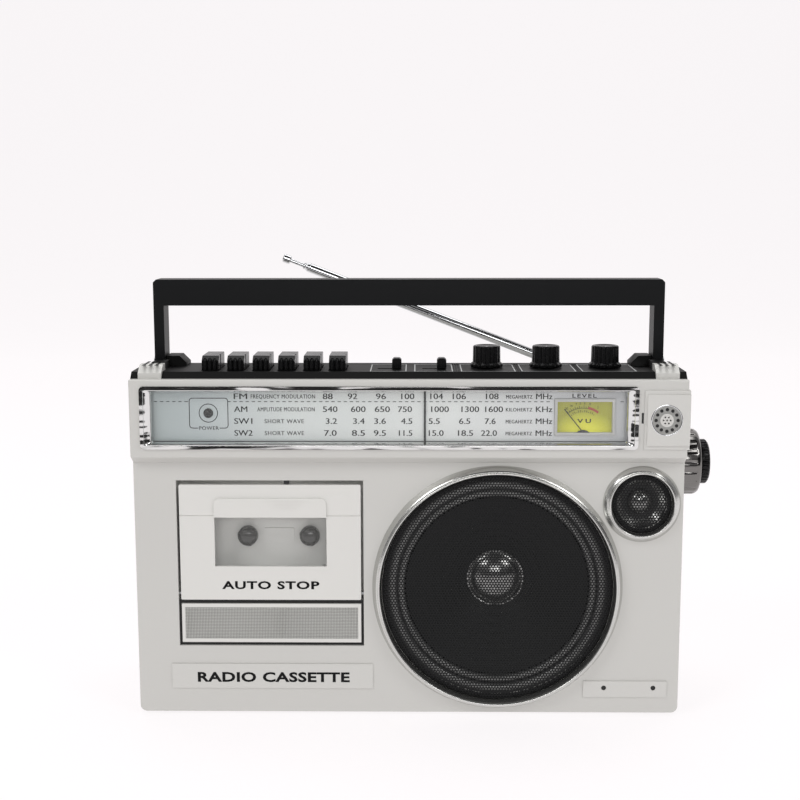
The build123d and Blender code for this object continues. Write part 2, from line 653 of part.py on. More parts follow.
def drive_motor():
    y0 = mech_y + 1.5
    can = fillet(rod_y(y0, y0 + 24, motor_x, motor_z, motor_radius).edges(), 1.5)
    return can - rod_y(y0 + 14, y0 + 25, motor_x, motor_z, 1 + running)


def motor_pulley():
    y0 = mech_y + 28
    return rod_y(y0 - 8, y0 + 4, motor_x, motor_z, 1) + rod_y(y0, y0 + 4, motor_x, motor_z, pulley_radius)


def loop(circles, thickness, y0, y1):
    """Flat band round two circles, each (x, z, radius)."""
    def outline(extra):
        edges = [(Pos(x, z) * Circle(r + extra)).edges()[0] for x, z, r in circles]
        return make_hull(edges)
    face = outline(thickness) - outline(0)
    return Pos(0, y1, 0) * Rot(90, 0, 0) * extrude(face, y1 - y0)


def belt_and_dial_cord():
    y0 = mech_y + 29
    belt = loop([(motor_x, motor_z, pulley_radius + gap), (capstan_x, capstan_z, flywheel_radius + gap)], 1, y0, y0 + 2)
    cord = loop([(x, cord_z(), cord_stud + gap) for x in cord_studs()], 0.7, 10.5, 11.2)
    return belt, cord


def shafts_and_pins():
    x0, x1 = bay_left + 5, bay_right - 5
    keys = rod_x(x0 - 1, x1 + 1, key_axis_y, key_axis_z, key_pin)
    left, right = rail_ends()
    rail = rod_x(left - 1, right + 1, rail_y, rail_z(), rail_radius)
    pins = [rod_x(bay_left - 2, door_left + 3, door_axis_y, door_axis_z, door_pin),
            rod_x(door_right - 3, bay_right + 2, door_axis_y, door_axis_z, door_pin)]
    return keys, rail, *pins


# ---- loudspeakers ----


def trim_ring(x, z, radius, rim, proud, seat):
    ring = turned((seat, 0), (radius, 0), (rim + 1.2, -proud), (rim, -proud), (seat, -grille_thickness - 0.1))
    return Pos(x, 0, z) * ring


def speaker_trim_rings():
    return (trim_ring(woofer_x, woofer_z, woofer_radius, woofer_rim, woofer_proud, woofer_opening + 3.2),
            trim_ring(tweeter_x, tweeter_z, tweeter_radius, tweeter_rim, tweeter_proud, tweeter_opening + 3.2))


def grille(x, z, radius, pitch, hole):
    holes = []
    rows = int(radius / (pitch * 0.866)) + 1
    for j in range(-rows, rows + 1):
        for i in range(-rows, rows + 1):
            u, v = pitch * (i + 0.5 * (j % 2)), pitch * 0.866 * j
            if hypot(u, v) < radius - 3 - hole:
                holes.append(Pos(u, v) * Circle(hole))
    face = Circle(radius) - holes
    return Pos(x, 0, z) * Rot(90, 0, 0) * extrude(face, grille_thickness)


def speaker_grilles():
    return (grille(woofer_x, woofer_z, woofer_opening + 3, 9, 3),
            grille(tweeter_x, tweeter_z, tweeter_opening + 3, 5, 1.6))


def speaker_drivers():
    y0, r = wall, woofer_opening
    basket = turned((r - 7, y0), (r + 7, y0), (r + 7, y0 + 3), (r - 3.5, y0 + 3), (37, 38), (37, 52), (0, 52),
                    (0, 34), (13, 34), (13, 46), (16, 46), (16, 38), (34, 36.5), (r - 7, y0 + 3.5))
    c = cone_radius + 0.7
    surround = turned((c, 4.6), ((c + r - 7) / 2, 3), (r - 7, 4), (r - 7, 5), ((c + r - 7) / 2, 4), (c, 5.4))
    t = tweeter_opening
    tweeter = turned((t + 2, y0), (t + 7, y0), (t + 7, y0 + 2), (t + 3, y0 + 3.5), (t + 3, 22), (0, 22),
                     (0, 6), (5, 7), (8, 9), (t + 2, 6))
    woofer_place = Pos(woofer_x, 0, woofer_z)
    return woofer_place * basket, woofer_place * surround, Pos(tweeter_x, 0, tweeter_z) * tweeter


def woofer_cone():
    c = cone_radius
    cone = turned((c - 0.5, 4.5), (c, 5.3), (15, 30.3), (15, 44), (14.2, 44), (14.2, 29.4))
    cap = turned((0, 21), (9, 22.3), (15, 25.3), (18, 28), (16.5, 29), (15, 26.6), (9, 23.3), (0, 22))
    return Pos(woofer_x, 0, woofer_z) * (cone + cap)


# ---- plates, electronics, power ----


def front_plates():
    badge = block(-161.4, -24.1, -0.8, 0, 16.9, 34.2)
    corner = block(119.3, 176.1, -0.8, 0, 11.2, 22.5)
    for x in (133.3, 166.9):
        corner -= rod_y(-2, 1, x, 17.75, 1.7)
    return badge, corner


def control_board_z():
    return deck_top - 13


def board_corners():
    return [(x, z) for x in (34, 157) for z in (68, 207)]


def circuit_boards():
    z0 = control_board_z() - 1.6
    top_board = block(-30, first_knob_x + 2 * knob_pitch + 16, knob_y - 16, knob_y + 18, z0, z0 + 1.6)
    main = block(26, 165, board_y, board_y + 1.6, 60, 215)
    pots = [pot(first_knob_x + knob_pitch * i) for i in range(3)]
    switches = [switch_body(x) for x in (function_x, band_x)]
    tuner = block(drum_x - 11, drum_x + 11, drum_y + 7, board_y, drum_z - 11, drum_z + 11)
    tuner -= rod_y(drum_y + 6, drum_y + 17, drum_x, drum_z, 3 + running)
    transformer = block(120, 162, cabinet_depth - 54, cabinet_depth - 18, wall, wall + 34)
    return (top_board, main, *pots, *switches, tuner, transformer)


def pot(x):
    z0 = control_board_z()
    body = block(x - 8, x + 8, knob_y - 8, knob_y + 8, z0, deck_top - deck_plate)
    return body - rod_z(z0 + 2, deck_top, x, knob_y, knob_shaft + running)


def switch_body(x):
    z0, z1 = control_board_z(), deck_top - 4
    body = block(x - switch_travel - 5, x + 5, switch_y - 5, switch_y + 5, z0, z1)
    return body - block(x - switch_travel - 2, x + 2, switch_y - 1.9, switch_y + 1.9, deck_top - 9, z1 + 1)


def battery_hinge():
    return cabinet_depth - wall / 2, battery_bottom + 2.4


def battery_door():
    y, z = battery_hinge()
    door = block(battery_left + gap, battery_right - gap, inner_back + 0.2, cabinet_depth,
                 battery_bottom + 0.6, battery_top - 0.4)
    middle = (battery_left + battery_right) / 2
    door -= block(middle - 12, middle + 12, cabinet_depth - 1.2, cabinet_depth + 1, battery_top - 9, battery_top - 4)
    return door + rod_x(battery_left - 1.5, battery_right + 1.5, y, z, 0.8)


def battery_contacts():
    """Plates at both ends of the bay, with a conical spring stand-in on each."""
    z = (battery_bottom + battery_top) / 2
    y = inner_back - battery_depth / 2
    left, right = battery_left - 2, battery_right + 2
    pieces = []
    for side in (-14.5, 14.5):
        pieces.append(block(left, left + 0.6, y - 16, y + 16, z + side - 10, z + side + 10)
                      + rod_x(left + 0.5, left + 6, y, z + side, 6))
        pieces.append(block(right - 0.6, right, y - 16, y + 16, z + side - 10, z + side + 10)
                      + rod_x(right - 3, right - 0.5, y, z + side, 4))
    return pieces


def socket_places():
    """(x, z, width, height) of the mains inlet and of the jack block."""
    return ((113, 45, 26, 18), (66, 45, 40, 14))


def sockets():
    (inlet_x, inlet_z, inlet_w, inlet_h), (jack_x, jack_z, jack_w, jack_h) = socket_places()
    y1 = cabinet_depth
    inlet = block(inlet_x - inlet_w / 2, inlet_x + inlet_w / 2, y1 - 18, y1, inlet_z - inlet_h / 2, inlet_z + inlet_h / 2)
    inlet -= block(inlet_x - 6, inlet_x + 6, y1 - 15, y1 + 1, inlet_z - 4.8, inlet_z + 4.8)
    for side in (-1, 1):
        inlet -= rod_y(y1 - 15, y1 + 1, inlet_x + side * 6, inlet_z, 4.8)
    for side in (-1, 1):
        inlet += rod_y(y1 - 16, y1 - 3, inlet_x + side * 4.3, inlet_z, 1.2)
    jacks = block(jack_x - jack_w / 2, jack_x + jack_w / 2, y1 - 16, y1, jack_z - jack_h / 2, jack_z + jack_h / 2)
    for i in (-1, 0, 1):
        jacks -= rod_y(y1 - 14, y1 + 1, jack_x + 13 * i, jack_z, 1.8)
    return inlet, jacks


ferrite_y, ferrite_radius = 75.0, 5.0


def ferrite_z():
    return rear_deck - wall - 12


def ferrite_aerial():
    rod = rod_x(-150, 8, ferrite_y, ferrite_z(), ferrite_radius)
    coil = rod_x(-90, -64, ferrite_y, ferrite_z(), ferrite_radius + 2.5)
    return rod, coil - rod_x(-91, -63, ferrite_y, ferrite_z(), ferrite_radius + running)


def fixing_screws():
    screws = []
    y0 = front_shell_depth
    for x, z in screw_places():
        screws.append(rod_y(y0 - 14, y0 + 10.5, x, z, 1.5) + rod_y(y0 + 10, y0 + 12.5, x, z, 3.2))
    head = rod_x(leg_x + handle_leg / 2 + gap, leg_x + handle_leg / 2 + 1.6, handle_y, pivot_z, 5)
    pivot = head + rod_x(leg_x - 13, leg_x + handle_leg / 2 + 1, handle_y, pivot_z, pivot_radius)
    return (*screws, *both_sides(pivot))


def rubber_feet():
    return [rod_z(-foot_height, 0, side * (half - foot_inset), y, foot_radius)
            for side in (-1, 1) for y in (foot_inset - 6, cabinet_depth - foot_inset + 6)]


def main():
    os.makedirs("parts", exist_ok=True)
    for piece in (front_cabinet, rear_cabinet, top_deck, dial_fascia, dial_bezel, dial_window, dial_plate,
                  dial_pointer, dial_drum, vu_meter_case, vu_meter_needle, power_lamp, tuning_knob,
                  fine_tuning_knob, carry_handle, antenna_turret, antenna_tube, antenna_middle_section,
                  antenna_tip_rod, cassette_well, cassette_door, door_window, lower_panel, mechanism_plate,
                  capstan_flywheel, pinch_arm, pinch_roller, head_plate, drive_motor, motor_pulley,
                  woofer_cone, battery_door):
        save(piece.__name__, piece())
    for group in (deck_end_caps, microphone, cassette_holder, belt_and_dial_cord, shafts_and_pins,
                  speaker_trim_rings, speaker_grilles, speaker_drivers, front_plates, circuit_boards,
                  battery_contacts, sockets, ferrite_aerial, fixing_screws, rubber_feet):
        save(group.__name__, *group())
    for index, name in enumerate(("pause", "stop", "forward", "rewind", "play", "record")):
        save(f"key_{name}", key(index))
    for index, name in enumerate(("volume", "bass", "treble")):
        save(f"{name}_knob", top_knob(first_knob_x + knob_pitch * index))
    save("function_switch", slide_switch(function_x))
    save("band_switch", slide_switch(band_x))
    save("supply_spindle", spindle(-1))
    save("takeup_spindle", spindle(1))


main()
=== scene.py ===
import json
import math

import bmesh
import bpy
import numpy as np
from mathutils import Matrix, Vector


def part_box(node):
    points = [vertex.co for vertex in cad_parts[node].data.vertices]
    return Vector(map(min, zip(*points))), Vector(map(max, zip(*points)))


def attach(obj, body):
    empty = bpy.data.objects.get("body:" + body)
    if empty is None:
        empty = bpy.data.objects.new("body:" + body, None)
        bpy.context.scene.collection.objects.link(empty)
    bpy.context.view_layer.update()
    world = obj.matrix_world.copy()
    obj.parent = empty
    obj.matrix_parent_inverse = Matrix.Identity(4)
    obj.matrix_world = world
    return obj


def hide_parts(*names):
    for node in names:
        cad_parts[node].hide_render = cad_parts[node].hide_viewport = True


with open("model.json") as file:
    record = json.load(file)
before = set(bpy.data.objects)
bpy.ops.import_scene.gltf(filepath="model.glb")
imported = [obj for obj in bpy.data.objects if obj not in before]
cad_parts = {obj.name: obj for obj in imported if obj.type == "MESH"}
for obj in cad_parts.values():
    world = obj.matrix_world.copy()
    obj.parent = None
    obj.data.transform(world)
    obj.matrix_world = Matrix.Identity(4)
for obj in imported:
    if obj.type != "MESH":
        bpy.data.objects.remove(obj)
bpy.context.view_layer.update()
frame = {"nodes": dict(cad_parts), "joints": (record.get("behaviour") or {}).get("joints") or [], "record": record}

mm = 0.001
record = frame["record"]
bodyOf = {node: body for body, members in record["behaviour"]["bodies"].items() for node in members}
joints = {joint["name"]: joint for joint in frame["joints"]}
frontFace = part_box("front_cabinet")[0][1]  # y of the lower front face
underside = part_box("front_cabinet")[0][2]  # z of the cabinet's underside


def up(z):
    # height above the cabinet's underside in mm, as a z in metres
    return underside + z * mm


def toLinear(hexColour):
    # sRGB hex to linear RGBA
    parts = [int(hexColour[i:i + 2], 16) / 255 for i in (1, 3, 5)]
    return tuple(c / 12.92 if c <= 0.04045 else ((c + 0.055) / 1.055) ** 2.4 for c in parts) + (1.0,)


def addNode(tree, kind, settings=None, links=None):
    # settings: an input's name or number, or a property's name; links: input to (node, output)
    node = tree.nodes.new("ShaderNode" + kind)
    for key, value in (settings or {}).items():
        if isinstance(key, int) or key in node.inputs:
            node.inputs[key].default_value = value
        else:
            setattr(node, key, value)
    for key, (source, output) in (links or {}).items():
        tree.links.new(source.outputs[output], node.inputs[key])
    return node


def newMaterial(name, colour, metallic, roughness, **inputs):
    material = bpy.data.materials.new(name)
    material.use_nodes = True
    shader = material.node_tree.nodes["Principled BSDF"]
    shader.inputs["Base Color"].default_value = toLinear(colour)
    shader.inputs["Metallic"].default_value = metallic
    shader.inputs["Roughness"].default_value = roughness
    for key, value in inputs.items():
        shader.inputs[key.replace("_", " ")].default_value = value
    return material


def addGrain(material, grainMm, depthMm, other=None, stretch=(1, 1, 1), strength=0.5, roughBy=0.0):
    # noise of a real size: a bump of depthMm, a drift towards a second colour and a change in roughness
    tree = material.node_tree
    shader = tree.nodes["Principled BSDF"]
    where = addNode(tree, "TexCoord")
    place = addNode(tree, "Mapping", {"Scale": stretch}, {"Vector": (where, "Object")})
    noise = addNode(tree, "TexNoise", {"Scale": 1 / (grainMm * mm), "Detail": 3.0, "Roughness": 0.6},
                    {"Vector": (place, "Vector")})
    if depthMm:
        bump = addNode(tree, "Bump", {"Strength": strength, "Distance": depthMm * mm},
                       {"Height": (noise, "Fac")})
        tree.links.new(bump.outputs["Normal"], shader.inputs["Normal"])
    if other:
        base = tuple(shader.inputs["Base Color"].default_value)
        mix = addNode(tree, "Mix", {"data_type": "RGBA", 6: base, 7: toLinear(other)},
                      {0: (noise, "Fac")})
        tree.links.new(mix.outputs[2], shader.inputs["Base Color"])
    if roughBy:
        rough = shader.inputs["Roughness"].default_value
        spread = addNode(tree, "MapRange", {3: rough - roughBy, 4: rough + roughBy}, {0: (noise, "Fac")})
        tree.links.new(spread.outputs[0], shader.inputs["Roughness"])
    return material


def grained(name, colour, metallic, roughness, grainMm, depthMm, other=None, stretch=(1, 1, 1),
            strength=0.5,
            roughBy=0.0, **inputs):
    return addGrain(newMaterial(name, colour, metallic, roughness, **inputs), grainMm, depthMm, other,
                    stretch,
                    strength, roughBy)


# silver lacquer sprayed on moulded ABS: a soft even sheen with fine flake and a faint orange peel
silverLacquer = grained("silverLacquerOnAbs", "#CBCAC6", 0.12, 0.42, 0.5, 0.02, "#C3C2BE", roughBy=0.05)
# the door and its panel are sprayed a tone lighter
paleLacquer = grained("paleSilverLacquerOnAbs", "#DAD9D5", 0.08, 0.40, 0.5, 0.02, "#D4D3CF", roughBy=0.05)
# grey ABS left as moulded inside the bay: matt, with a fine spark texture
greyAbs = grained("greyMouldedAbs", "#E0E0DC", 0.0, 0.5, 0.7, 0.04, "#D8D8D4")
# black ABS from a polished mould: deep and glossy, a little uneven where hands wear it
glossBlackAbs = grained("glossBlackAbs", "#060607", 0.0, 0.26, 3.0, 0.01, "#0A0A0B", roughBy=0.08,
        Specular_IOR_Level=0.2)
# black ABS with a spark-eroded grain on the handle: a broad dull sheen
grainedBlackAbs = grained("grainedBlackAbs", "#0A0B0C", 0.0, 0.42, 0.6, 0.05, "#101113", roughBy=0.06,
        Specular_IOR_Level=0.16)
# matt black polystyrene of the hidden mouldings
mattBlack = grained("mattBlackPolystyrene", "#161616", 0.0, 0.6, 0.8, 0.04, "#1D1D1D")
# vacuum-metallised ABS: a mirror, softened by small ripples of the moulding
metallised = grained("metallisedAbsChrome", "#E2E3E4", 1.0, 0.07, 9.0, 0.05, roughBy=0.03, strength=0.25)
# chrome-plated brass tube of the antenna, drawn lengthwise
platedBrass = grained("chromePlatedBrass", "#DCDDDF", 1.0, 0.1, 4.0, 0.0, roughBy=0.04)
# satin-anodised aluminium, brushed along X: long fine scratches
brushedAluminium = grained("brushedAnodisedAluminium", "#CBCBC9", 0.75, 0.34, 0.35, 0.02, "#BDBDBB",
        stretch=(0.02, 1, 1), roughBy=0.06)
# metallised flanks of the dial frame: long soft ripples that break reflections into streaks
rippledChrome = grained("rippledMetallisedAbs", "#DCDCDB", 1.0, 0.08, 17.0, 1.6, stretch=(0.13, 1, 0.8),
        strength=0.55,
                         roughBy=0.04)
# metallised ring round the loudspeakers, satin from its mould
satinChrome = grained("satinMetallisedAbs", "#CFCFCC", 0.95, 0.2, 6.0, 0.0, "#C6C6C3", roughBy=0.06)
# black-nickel plating on the tuning wheel: a darker mirror than chrome
blackNickel = grained("blackNickelPlating", "#7A7876", 1.0, 0.14, 4.0, 0.0, roughBy=0.05)
# matt spark-textured black ABS of the control deck
deckBlack = grained("sparkedBlackAbs", "#070707", 0.0, 0.5, 0.6, 0.03, "#0C0C0C", roughBy=0.06,
                    Specular_IOR_Level=0.12)
# silver lacquer over the glued plates, a shade lighter than the cabinet
plateLacquer = grained("lighterSilverLacquer", "#CDCCC8", 0.13, 0.38, 0.5, 0.01, "#C7C6C2", roughBy=0.05)
# rubber of the woofer's rolled edge, with a third of a metal's sheen so that it reads grey through the sheet
glossRubber = grained("glossNitrileRubber", "#6A6A69", 0.35, 0.3, 3.0, 0.02, "#5C5C5B", roughBy=0.05)
# zinc-plated pressed steel of the mechanism
zincSteel = grained("zincPlatedSteel", "#A9ABAA", 0.9, 0.36, 5.0, 0.02, "#989A9C", roughBy=0.08)
# steel sheet, perforated and stove-enamelled black: satin, the light catches the hole edges
blackEnamel = grained("blackStoveEnamel", "#08090A", 0.1, 0.36, 1.2, 0.02, "#121314", roughBy=0.06,
        Specular_IOR_Level=0.25)
# doped black paper pulp of the cone: fibrous, with the dull shine of the dope
dopedPaper = grained("dopedPaperPulp", "#0B0C0C", 0.0, 0.5, 1.4, 0.12, "#101111", roughBy=0.1,
        Specular_IOR_Level=0.2)
# moulded black rubber
blackRubber = grained("mouldedBlackRubber", "#141414", 0.0, 0.62, 1.0, 0.03, "#1B1B1B")
# brown phenolic board
phenolicBoard = grained("phenolicBoard", "#6B4A26", 0.0, 0.5, 2.0, 0.02, "#5A3D1F")
# screen-printing ink: flat and matt
blackInk = grained("blackScreenInk", "#0B0B0C", 0.0, 0.6, 1.0, 0.0, "#101011", Specular_IOR_Level=0.15)
whiteInk = grained("whiteScreenInk", "#C9CBCB", 0.0, 0.5, 1.0, 0.0, "#B9BBBB")
redInk = grained("redScreenInk", "#A2341D", 0.0, 0.5, 1.0, 0.0, "#8E2C18")
# clear polystyrene: seen through, with a sharp sheen
clearStyrene = newMaterial("clearPolystyrene", "#F2F5F4", 0.0, 0.04, Alpha=0.05, IOR=1.5)
smokedStyrene = newMaterial("paleSmokedPolystyrene", "#C9C9C6", 0.0, 0.06, Alpha=0.06, IOR=1.5)
# dark translucent lens of the lamp
lampLens = grained("darkLampLens", "#050404", 0.0, 0.6, 2.0, 0.0, "#0C0808", Specular_IOR_Level=0.05)


def dialFoil():
    # printed foil on a plate: blue-grey at the left end, clearing to silver in the middle
    material = newMaterial("printedSilverFoil", "#C9CFD0", 0.35, 0.38)
    tree = material.node_tree
    shader = tree.nodes["Principled BSDF"]
    low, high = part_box("dial_plate")
    where = addNode(tree, "TexCoord")
    split = addNode(tree, "SeparateXYZ", {}, {"Vector": (where, "Object")})
    along = addNode(tree, "MapRange", {1: low[0], 2: high[0]}, {0: (split, "X")})
    ramp = addNode(tree, "ValToRGB", {}, {"Fac": (along, 0)})
    stops = ramp.color_ramp.elements
    stops[0].position, stops[0].color = 0.0, toLinear("#A3ADAD")
    stops[1].position, stops[1].color = 1.0, toLinear("#B9BBBD")
    for position, colour in ((0.12, "#B4BDBE"), (0.3, "#D3D8D6"), (0.62, "#DEE1DF"), (0.85, "#D2D4D5")):
        stop = stops.new(position)
        stop.color = toLinear(colour)
    tree.links.new(ramp.outputs["Color"], shader.inputs["Base Color"])
    return material


def meterCard():
    # lit yellow-green card of the level meter: brighter low in the middle, where the lamp is
    material = newMaterial("yellowGreenMeterCard", "#C9CE45", 0.0, 0.5, Emission_Strength=0.12)
    tree = material.node_tree
    shader = tree.nodes["Principled BSDF"]
    low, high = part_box("vu_meter_case")
    middle = [(low[i] + high[i]) / 2 for i in range(3)]
    where = addNode(tree, "TexCoord")
    centred = addNode(tree, "Mapping",
                      {"Location": (-middle[0] * 45, 0, -low[2] * 60), "Scale": (45, 0, 60)},
                      {"Vector": (where, "Object")})
    distance = addNode(tree, "VectorMath", {"operation": "LENGTH"}, {0: (centred, "Vector")})
    ramp = addNode(tree, "ValToRGB", {}, {"Fac": (distance, "Value")})
    stops = ramp.color_ramp.elements
    stops[0].position, stops[0].color = 0.2, toLinear("#DAD92E")
    stops[1].position, stops[1].color = 1.0, toLinear("#94931F")
    tree.links.new(ramp.outputs["Color"], shader.inputs["Base Color"])
    tree.links.new(ramp.outputs["Color"], shader.inputs["Emission Color"])
    return material


def wovenPanel():
    # moulded weave, lacquered, with painted shade in its hollows: they are coloured darker than the raised
    # crossings
    material = newMaterial("wovenPressedAbs", "#CDCDC9", 0.1, 0.42)
    tree = material.node_tree
    shader = tree.nodes["Principled BSDF"]
    hollow = addNode(tree, "Attribute", {"attribute_name": "hollow"})
    mix = addNode(tree, "Mix", {"data_type": "RGBA", 6: toLinear("#CDCDC9"), 7: toLinear("#7C7C78")},
                  {0: (hollow, "Fac")})
    tree.links.new(mix.outputs[2], shader.inputs["Base Color"])
    return material


foil, card, woven = dialFoil(), meterCard(), wovenPanel()
print("materials made")


def finishPiece(name, mesh, material, body, stands=(), slotName=None, smoothBelow=35):
    # shading by angle, material, and its place on a body
    mesh.polygons.foreach_set("use_smooth", [True] * len(mesh.polygons))
    mesh.set_sharp_from_angle(angle=math.radians(smoothBelow))
    mesh.materials.clear()
    mesh.materials.append(material)
    piece = bpy.data.objects.new(name, mesh)
    bpy.context.scene.collection.objects.link(piece)
    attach(piece, body)
    if stands:
        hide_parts(*stands)
    slotName or "silver_abs"
    return piece


def meshFrom(name, verts, faces, merge=1e-7):
    # arrays to a mesh, with doubles merged and faces turned outwards
    mesh = bpy.data.meshes.new(name)
    mesh.from_pydata(np.asarray(verts).reshape(-1, 3).tolist(), [], [list(f) for f in faces])
    shape = bmesh.new()
    shape.from_mesh(mesh)
    bmesh.ops.remove_doubles(shape, verts=shape.verts, dist=merge)
    bmesh.ops.recalc_face_normals(shape, faces=shape.faces)
    shape.to_mesh(mesh)
    shape.free()
    return mesh


def gridFaces(rows, columns, closeRows=False, closeColumns=False):
    # quads of a grid of points, row by row, optionally joined end to end
    r = np.arange(rows if closeRows else rows - 1)
    c = np.arange(columns if closeColumns else columns - 1)
    i, j = np.meshgrid(r, c, indexing="ij")
    i2, j2 = (i + 1) % rows, (j + 1) % columns
    quads = np.stack([i * columns + j, i2 * columns + j, i2 * columns + j2, i * columns + j2], -1)
    return quads.reshape(-1, 4)


def axesAcross(axis):
    axis = Vector(axis).normalized()
    side = axis.orthogonal().normalized()
    return np.array(axis), np.array(side), np.array(axis.cross(side))


def lathe(profile, centre, axis, segments=96, radiusOf=None):
    # point = centre + s * axis + r * (cos t * side + sin t * other), for each (r, s) of the profile in mm;
    # radiusOf(r, s, t) may change the radius round the turn
    profile = np.array(profile, float)
    t = np.linspace(0, 2 * math.pi, segments, endpoint=False)
    along, side, other = axesAcross(axis)
    r, s = profile[:, :1], profile[:, 1:]
    radius = radiusOf(r, s, t[None, :]) if radiusOf else r + 0 * t[None, :]
    points = (np.array(centre)[None, None] + mm * s[..., None] * along
              + mm * radius[..., None] * (np.cos(t)[None, :, None] * side + np.sin(t)[None, :,
                      None] * other))
    return points.reshape(-1, 3), gridFaces(len(profile), segments, closeColumns=True)


def arcProfile(centre, radius, fromDegrees, toDegrees, steps=8):
    # points of a round stretch of a profile
    t = np.radians(np.linspace(fromDegrees, toDegrees, steps))
    return [(centre[0] + radius * math.cos(a), centre[1] + radius * math.sin(a)) for a in t]


def latheIt(name, profile, centre, axis, material, body, stands=(), slotName=None, segments=96,
            radiusOf=None,
            smoothBelow=35):
    verts, faces = lathe(profile, centre, axis, segments, radiusOf)
    return finishPiece(name, meshFrom(name, verts, faces), material, body, stands, slotName, smoothBelow)


def roundedCopy(node, material, width=0.4, segments=2, slotName=None, name=None):
    # the CAD shape with its edges broken by a small radius, as a mould leaves them
    mesh = frame["nodes"][node].data.copy()
    shape = bmesh.new()
    shape.from_mesh(mesh)
    bmesh.ops.remove_doubles(shape, verts=shape.verts, dist=1e-6)
    bmesh.ops.dissolve_limit(shape, angle_limit=math.radians(0.6), verts=shape.verts, edges=shape.edges)
    shape.to_mesh(mesh)
    shape.free()
    piece = finishPiece(name or node + "_shell", mesh, material, bodyOf[node], (node,), slotName)
    bevel = piece.modifiers.new("brokenEdges", "BEVEL")
    bevel.width, bevel.segments, bevel.limit_method = width * mm, segments, "ANGLE"
    bevel.angle_limit = math.radians(32)
    bevel.harden_normals = False
    return piece


def dress(node, material):
    # a CAD node that stays gets its material
    piece = frame["nodes"][node]
    piece.data.materials.clear()
    piece.data.materials.append(material)


def ribbon(path, width, closed=False):
    # flat strip of that width along (u, v) points: each point moved half the width along the path's normal
    path = np.array(path, float)
    ahead = np.roll(path, -1, 0) - path
    behind = path - np.roll(path, 1, 0)
    if not closed:
        ahead[-1], behind[0] = behind[-1], ahead[0]
    direction = ahead / np.linalg.norm(ahead, axis=1)[:, None] + behind / np.linalg.norm(behind, axis=1)[:,
            None]
    direction /= np.linalg.norm(direction, axis=1)[:, None]
    normal = np.stack([-direction[:, 1], direction[:, 0]], 1)
    stretch = 1 / np.maximum(0.5, np.abs((normal * np.stack([-ahead[:, 1], ahead[:, 0]], 1)).sum(1)
                                         / np.linalg.norm(ahead, axis=1)))
    offset = normal * (width / 2 * stretch)[:, None]
    points = np.stack([path - offset, path + offset], 1)
    return points.reshape(-1, 2), gridFaces(len(path), 2, closeRows=closed)


def roundedRectangle(x0, x1, z0, z1, radius, steps=6):
    # corner arcs in turn, counter-clockwise
    corners = ((x1 - radius, z1 - radius, 0), (x0 + radius, z1 - radius, 90),
               (x0 + radius, z0 + radius, 180), (x1 - radius, z0 + radius, 270))
    return [p for x, z, start in corners for p in arcProfile((x, z), radius, start, start + 90, steps)]


def disc(x, z, radius, steps=24):
    # fan of one many-sided face
    points = [(x + radius * math.cos(a), z + radius * math.sin(a))
              for a in np.linspace(0, 2 * math.pi, steps, endpoint=False)]
    return np.array(points), [list(range(steps))]


def letters(text, x, z, height, width=None, align="LEFT", bold=0.0, spacing=1.0, double=0.0):
    # letters of Blender's own face, scaled to a capital height and, where given, a width in mm; (x, z) is
    # the baseline's left end or middle
    curve = bpy.data.curves.new("letters", "FONT")
    curve.body, curve.size, curve.offset, curve.resolution_u = text, 1.0, bold, 3
    curve.space_character = spacing
    holder = bpy.data.objects.new("letters", curve)
    mesh = bpy.data.meshes.new_from_object(holder)
    points = np.empty(len(mesh.vertices) * 3)
    mesh.vertices.foreach_get("co", points)
    points = points.reshape(-1, 3)[:, :2]
    faces = [list(p.vertices) for p in mesh.polygons]
    bpy.data.objects.remove(holder)
    bpy.data.curves.remove(curve)
    bpy.data.meshes.remove(mesh)
    low, high = points.min(0), points.max(0)
    tall = height / 0.73  # capital height of that face
    wide = width / (high[0] - low[0]) if width else tall
    points = np.stack([(points[:, 0] - low[0]) * wide, points[:, 1] * tall], 1)
    if align == "CENTER":
        points[:, 0] -= (high[0] - low[0]) * wide / 2
    points = points + np.array([x, z])
    if double:
        # a second strike a little to the right thickens the upright strokes
        faces = faces + [[i + len(points) for i in face] for face in faces]
        points = np.concatenate([points, points + np.array([double, 0.0])])
    return points, faces


def printed(name, shapes, material, body, place, slotName, thicknessMm=0.04):
    # flat (u, v) shapes in mm gathered into one ink layer; place maps (u, v, height) to the object
    verts, faces, count = [], [], 0
    for points, polygons in shapes:
        for lift, turn in ((0.0, -1), (thicknessMm, 1)):
            verts.append(place(points[:, 0], points[:, 1], lift))
            faces += [[count + i for i in polygon][::turn] for polygon in polygons]
            count += len(points)
        if len(polygons) == 1 and thicknessMm > 0.1:
            n, start = len(points), count - 2 * len(points)
            faces += [[start + i, start + (i + 1) % n, start + n + (i + 1) % n, start + n + i]
                      for i in range(n)]
    mesh = bpy.data.meshes.new(name)
    mesh.from_pydata(np.concatenate(verts).tolist(), [], faces)
    return finishPiece(name, mesh, material, body, (), slotName)


def faceOf(node):
    # a node's left, right, bottom and top in mm, heights from the underside
    low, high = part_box(node)
    return low[0] / mm, high[0] / mm, (low[2] - underside) / mm, (high[2] - underside) / mm


def cornersOf(x0, x1, z0, z1):
    return [(x0, z0), (x1, z0), (x1, z1), (x0, z1)]


def patch(x0, x1, z0, z1):
    # one flat quad
    return np.array(cornersOf(x0, x1, z0, z1)), [[0, 1, 2, 3]]


def onFront(y):
    # front-facing plane at y metres, with u to the right and v up from the underside, in mm
    def place(u, v, lift):
        return np.stack([u * mm, np.full(len(u), y - lift * mm), underside + v * mm], 1)
    return place


def onTop(z):
    # upward-facing plane at z metres, with u to the right and v back from the lower front face, in mm
    def place(u, v, lift):
        return np.stack([u * mm, frontFace + v * mm, np.full(len(u), z + lift * mm)], 1)
    return place


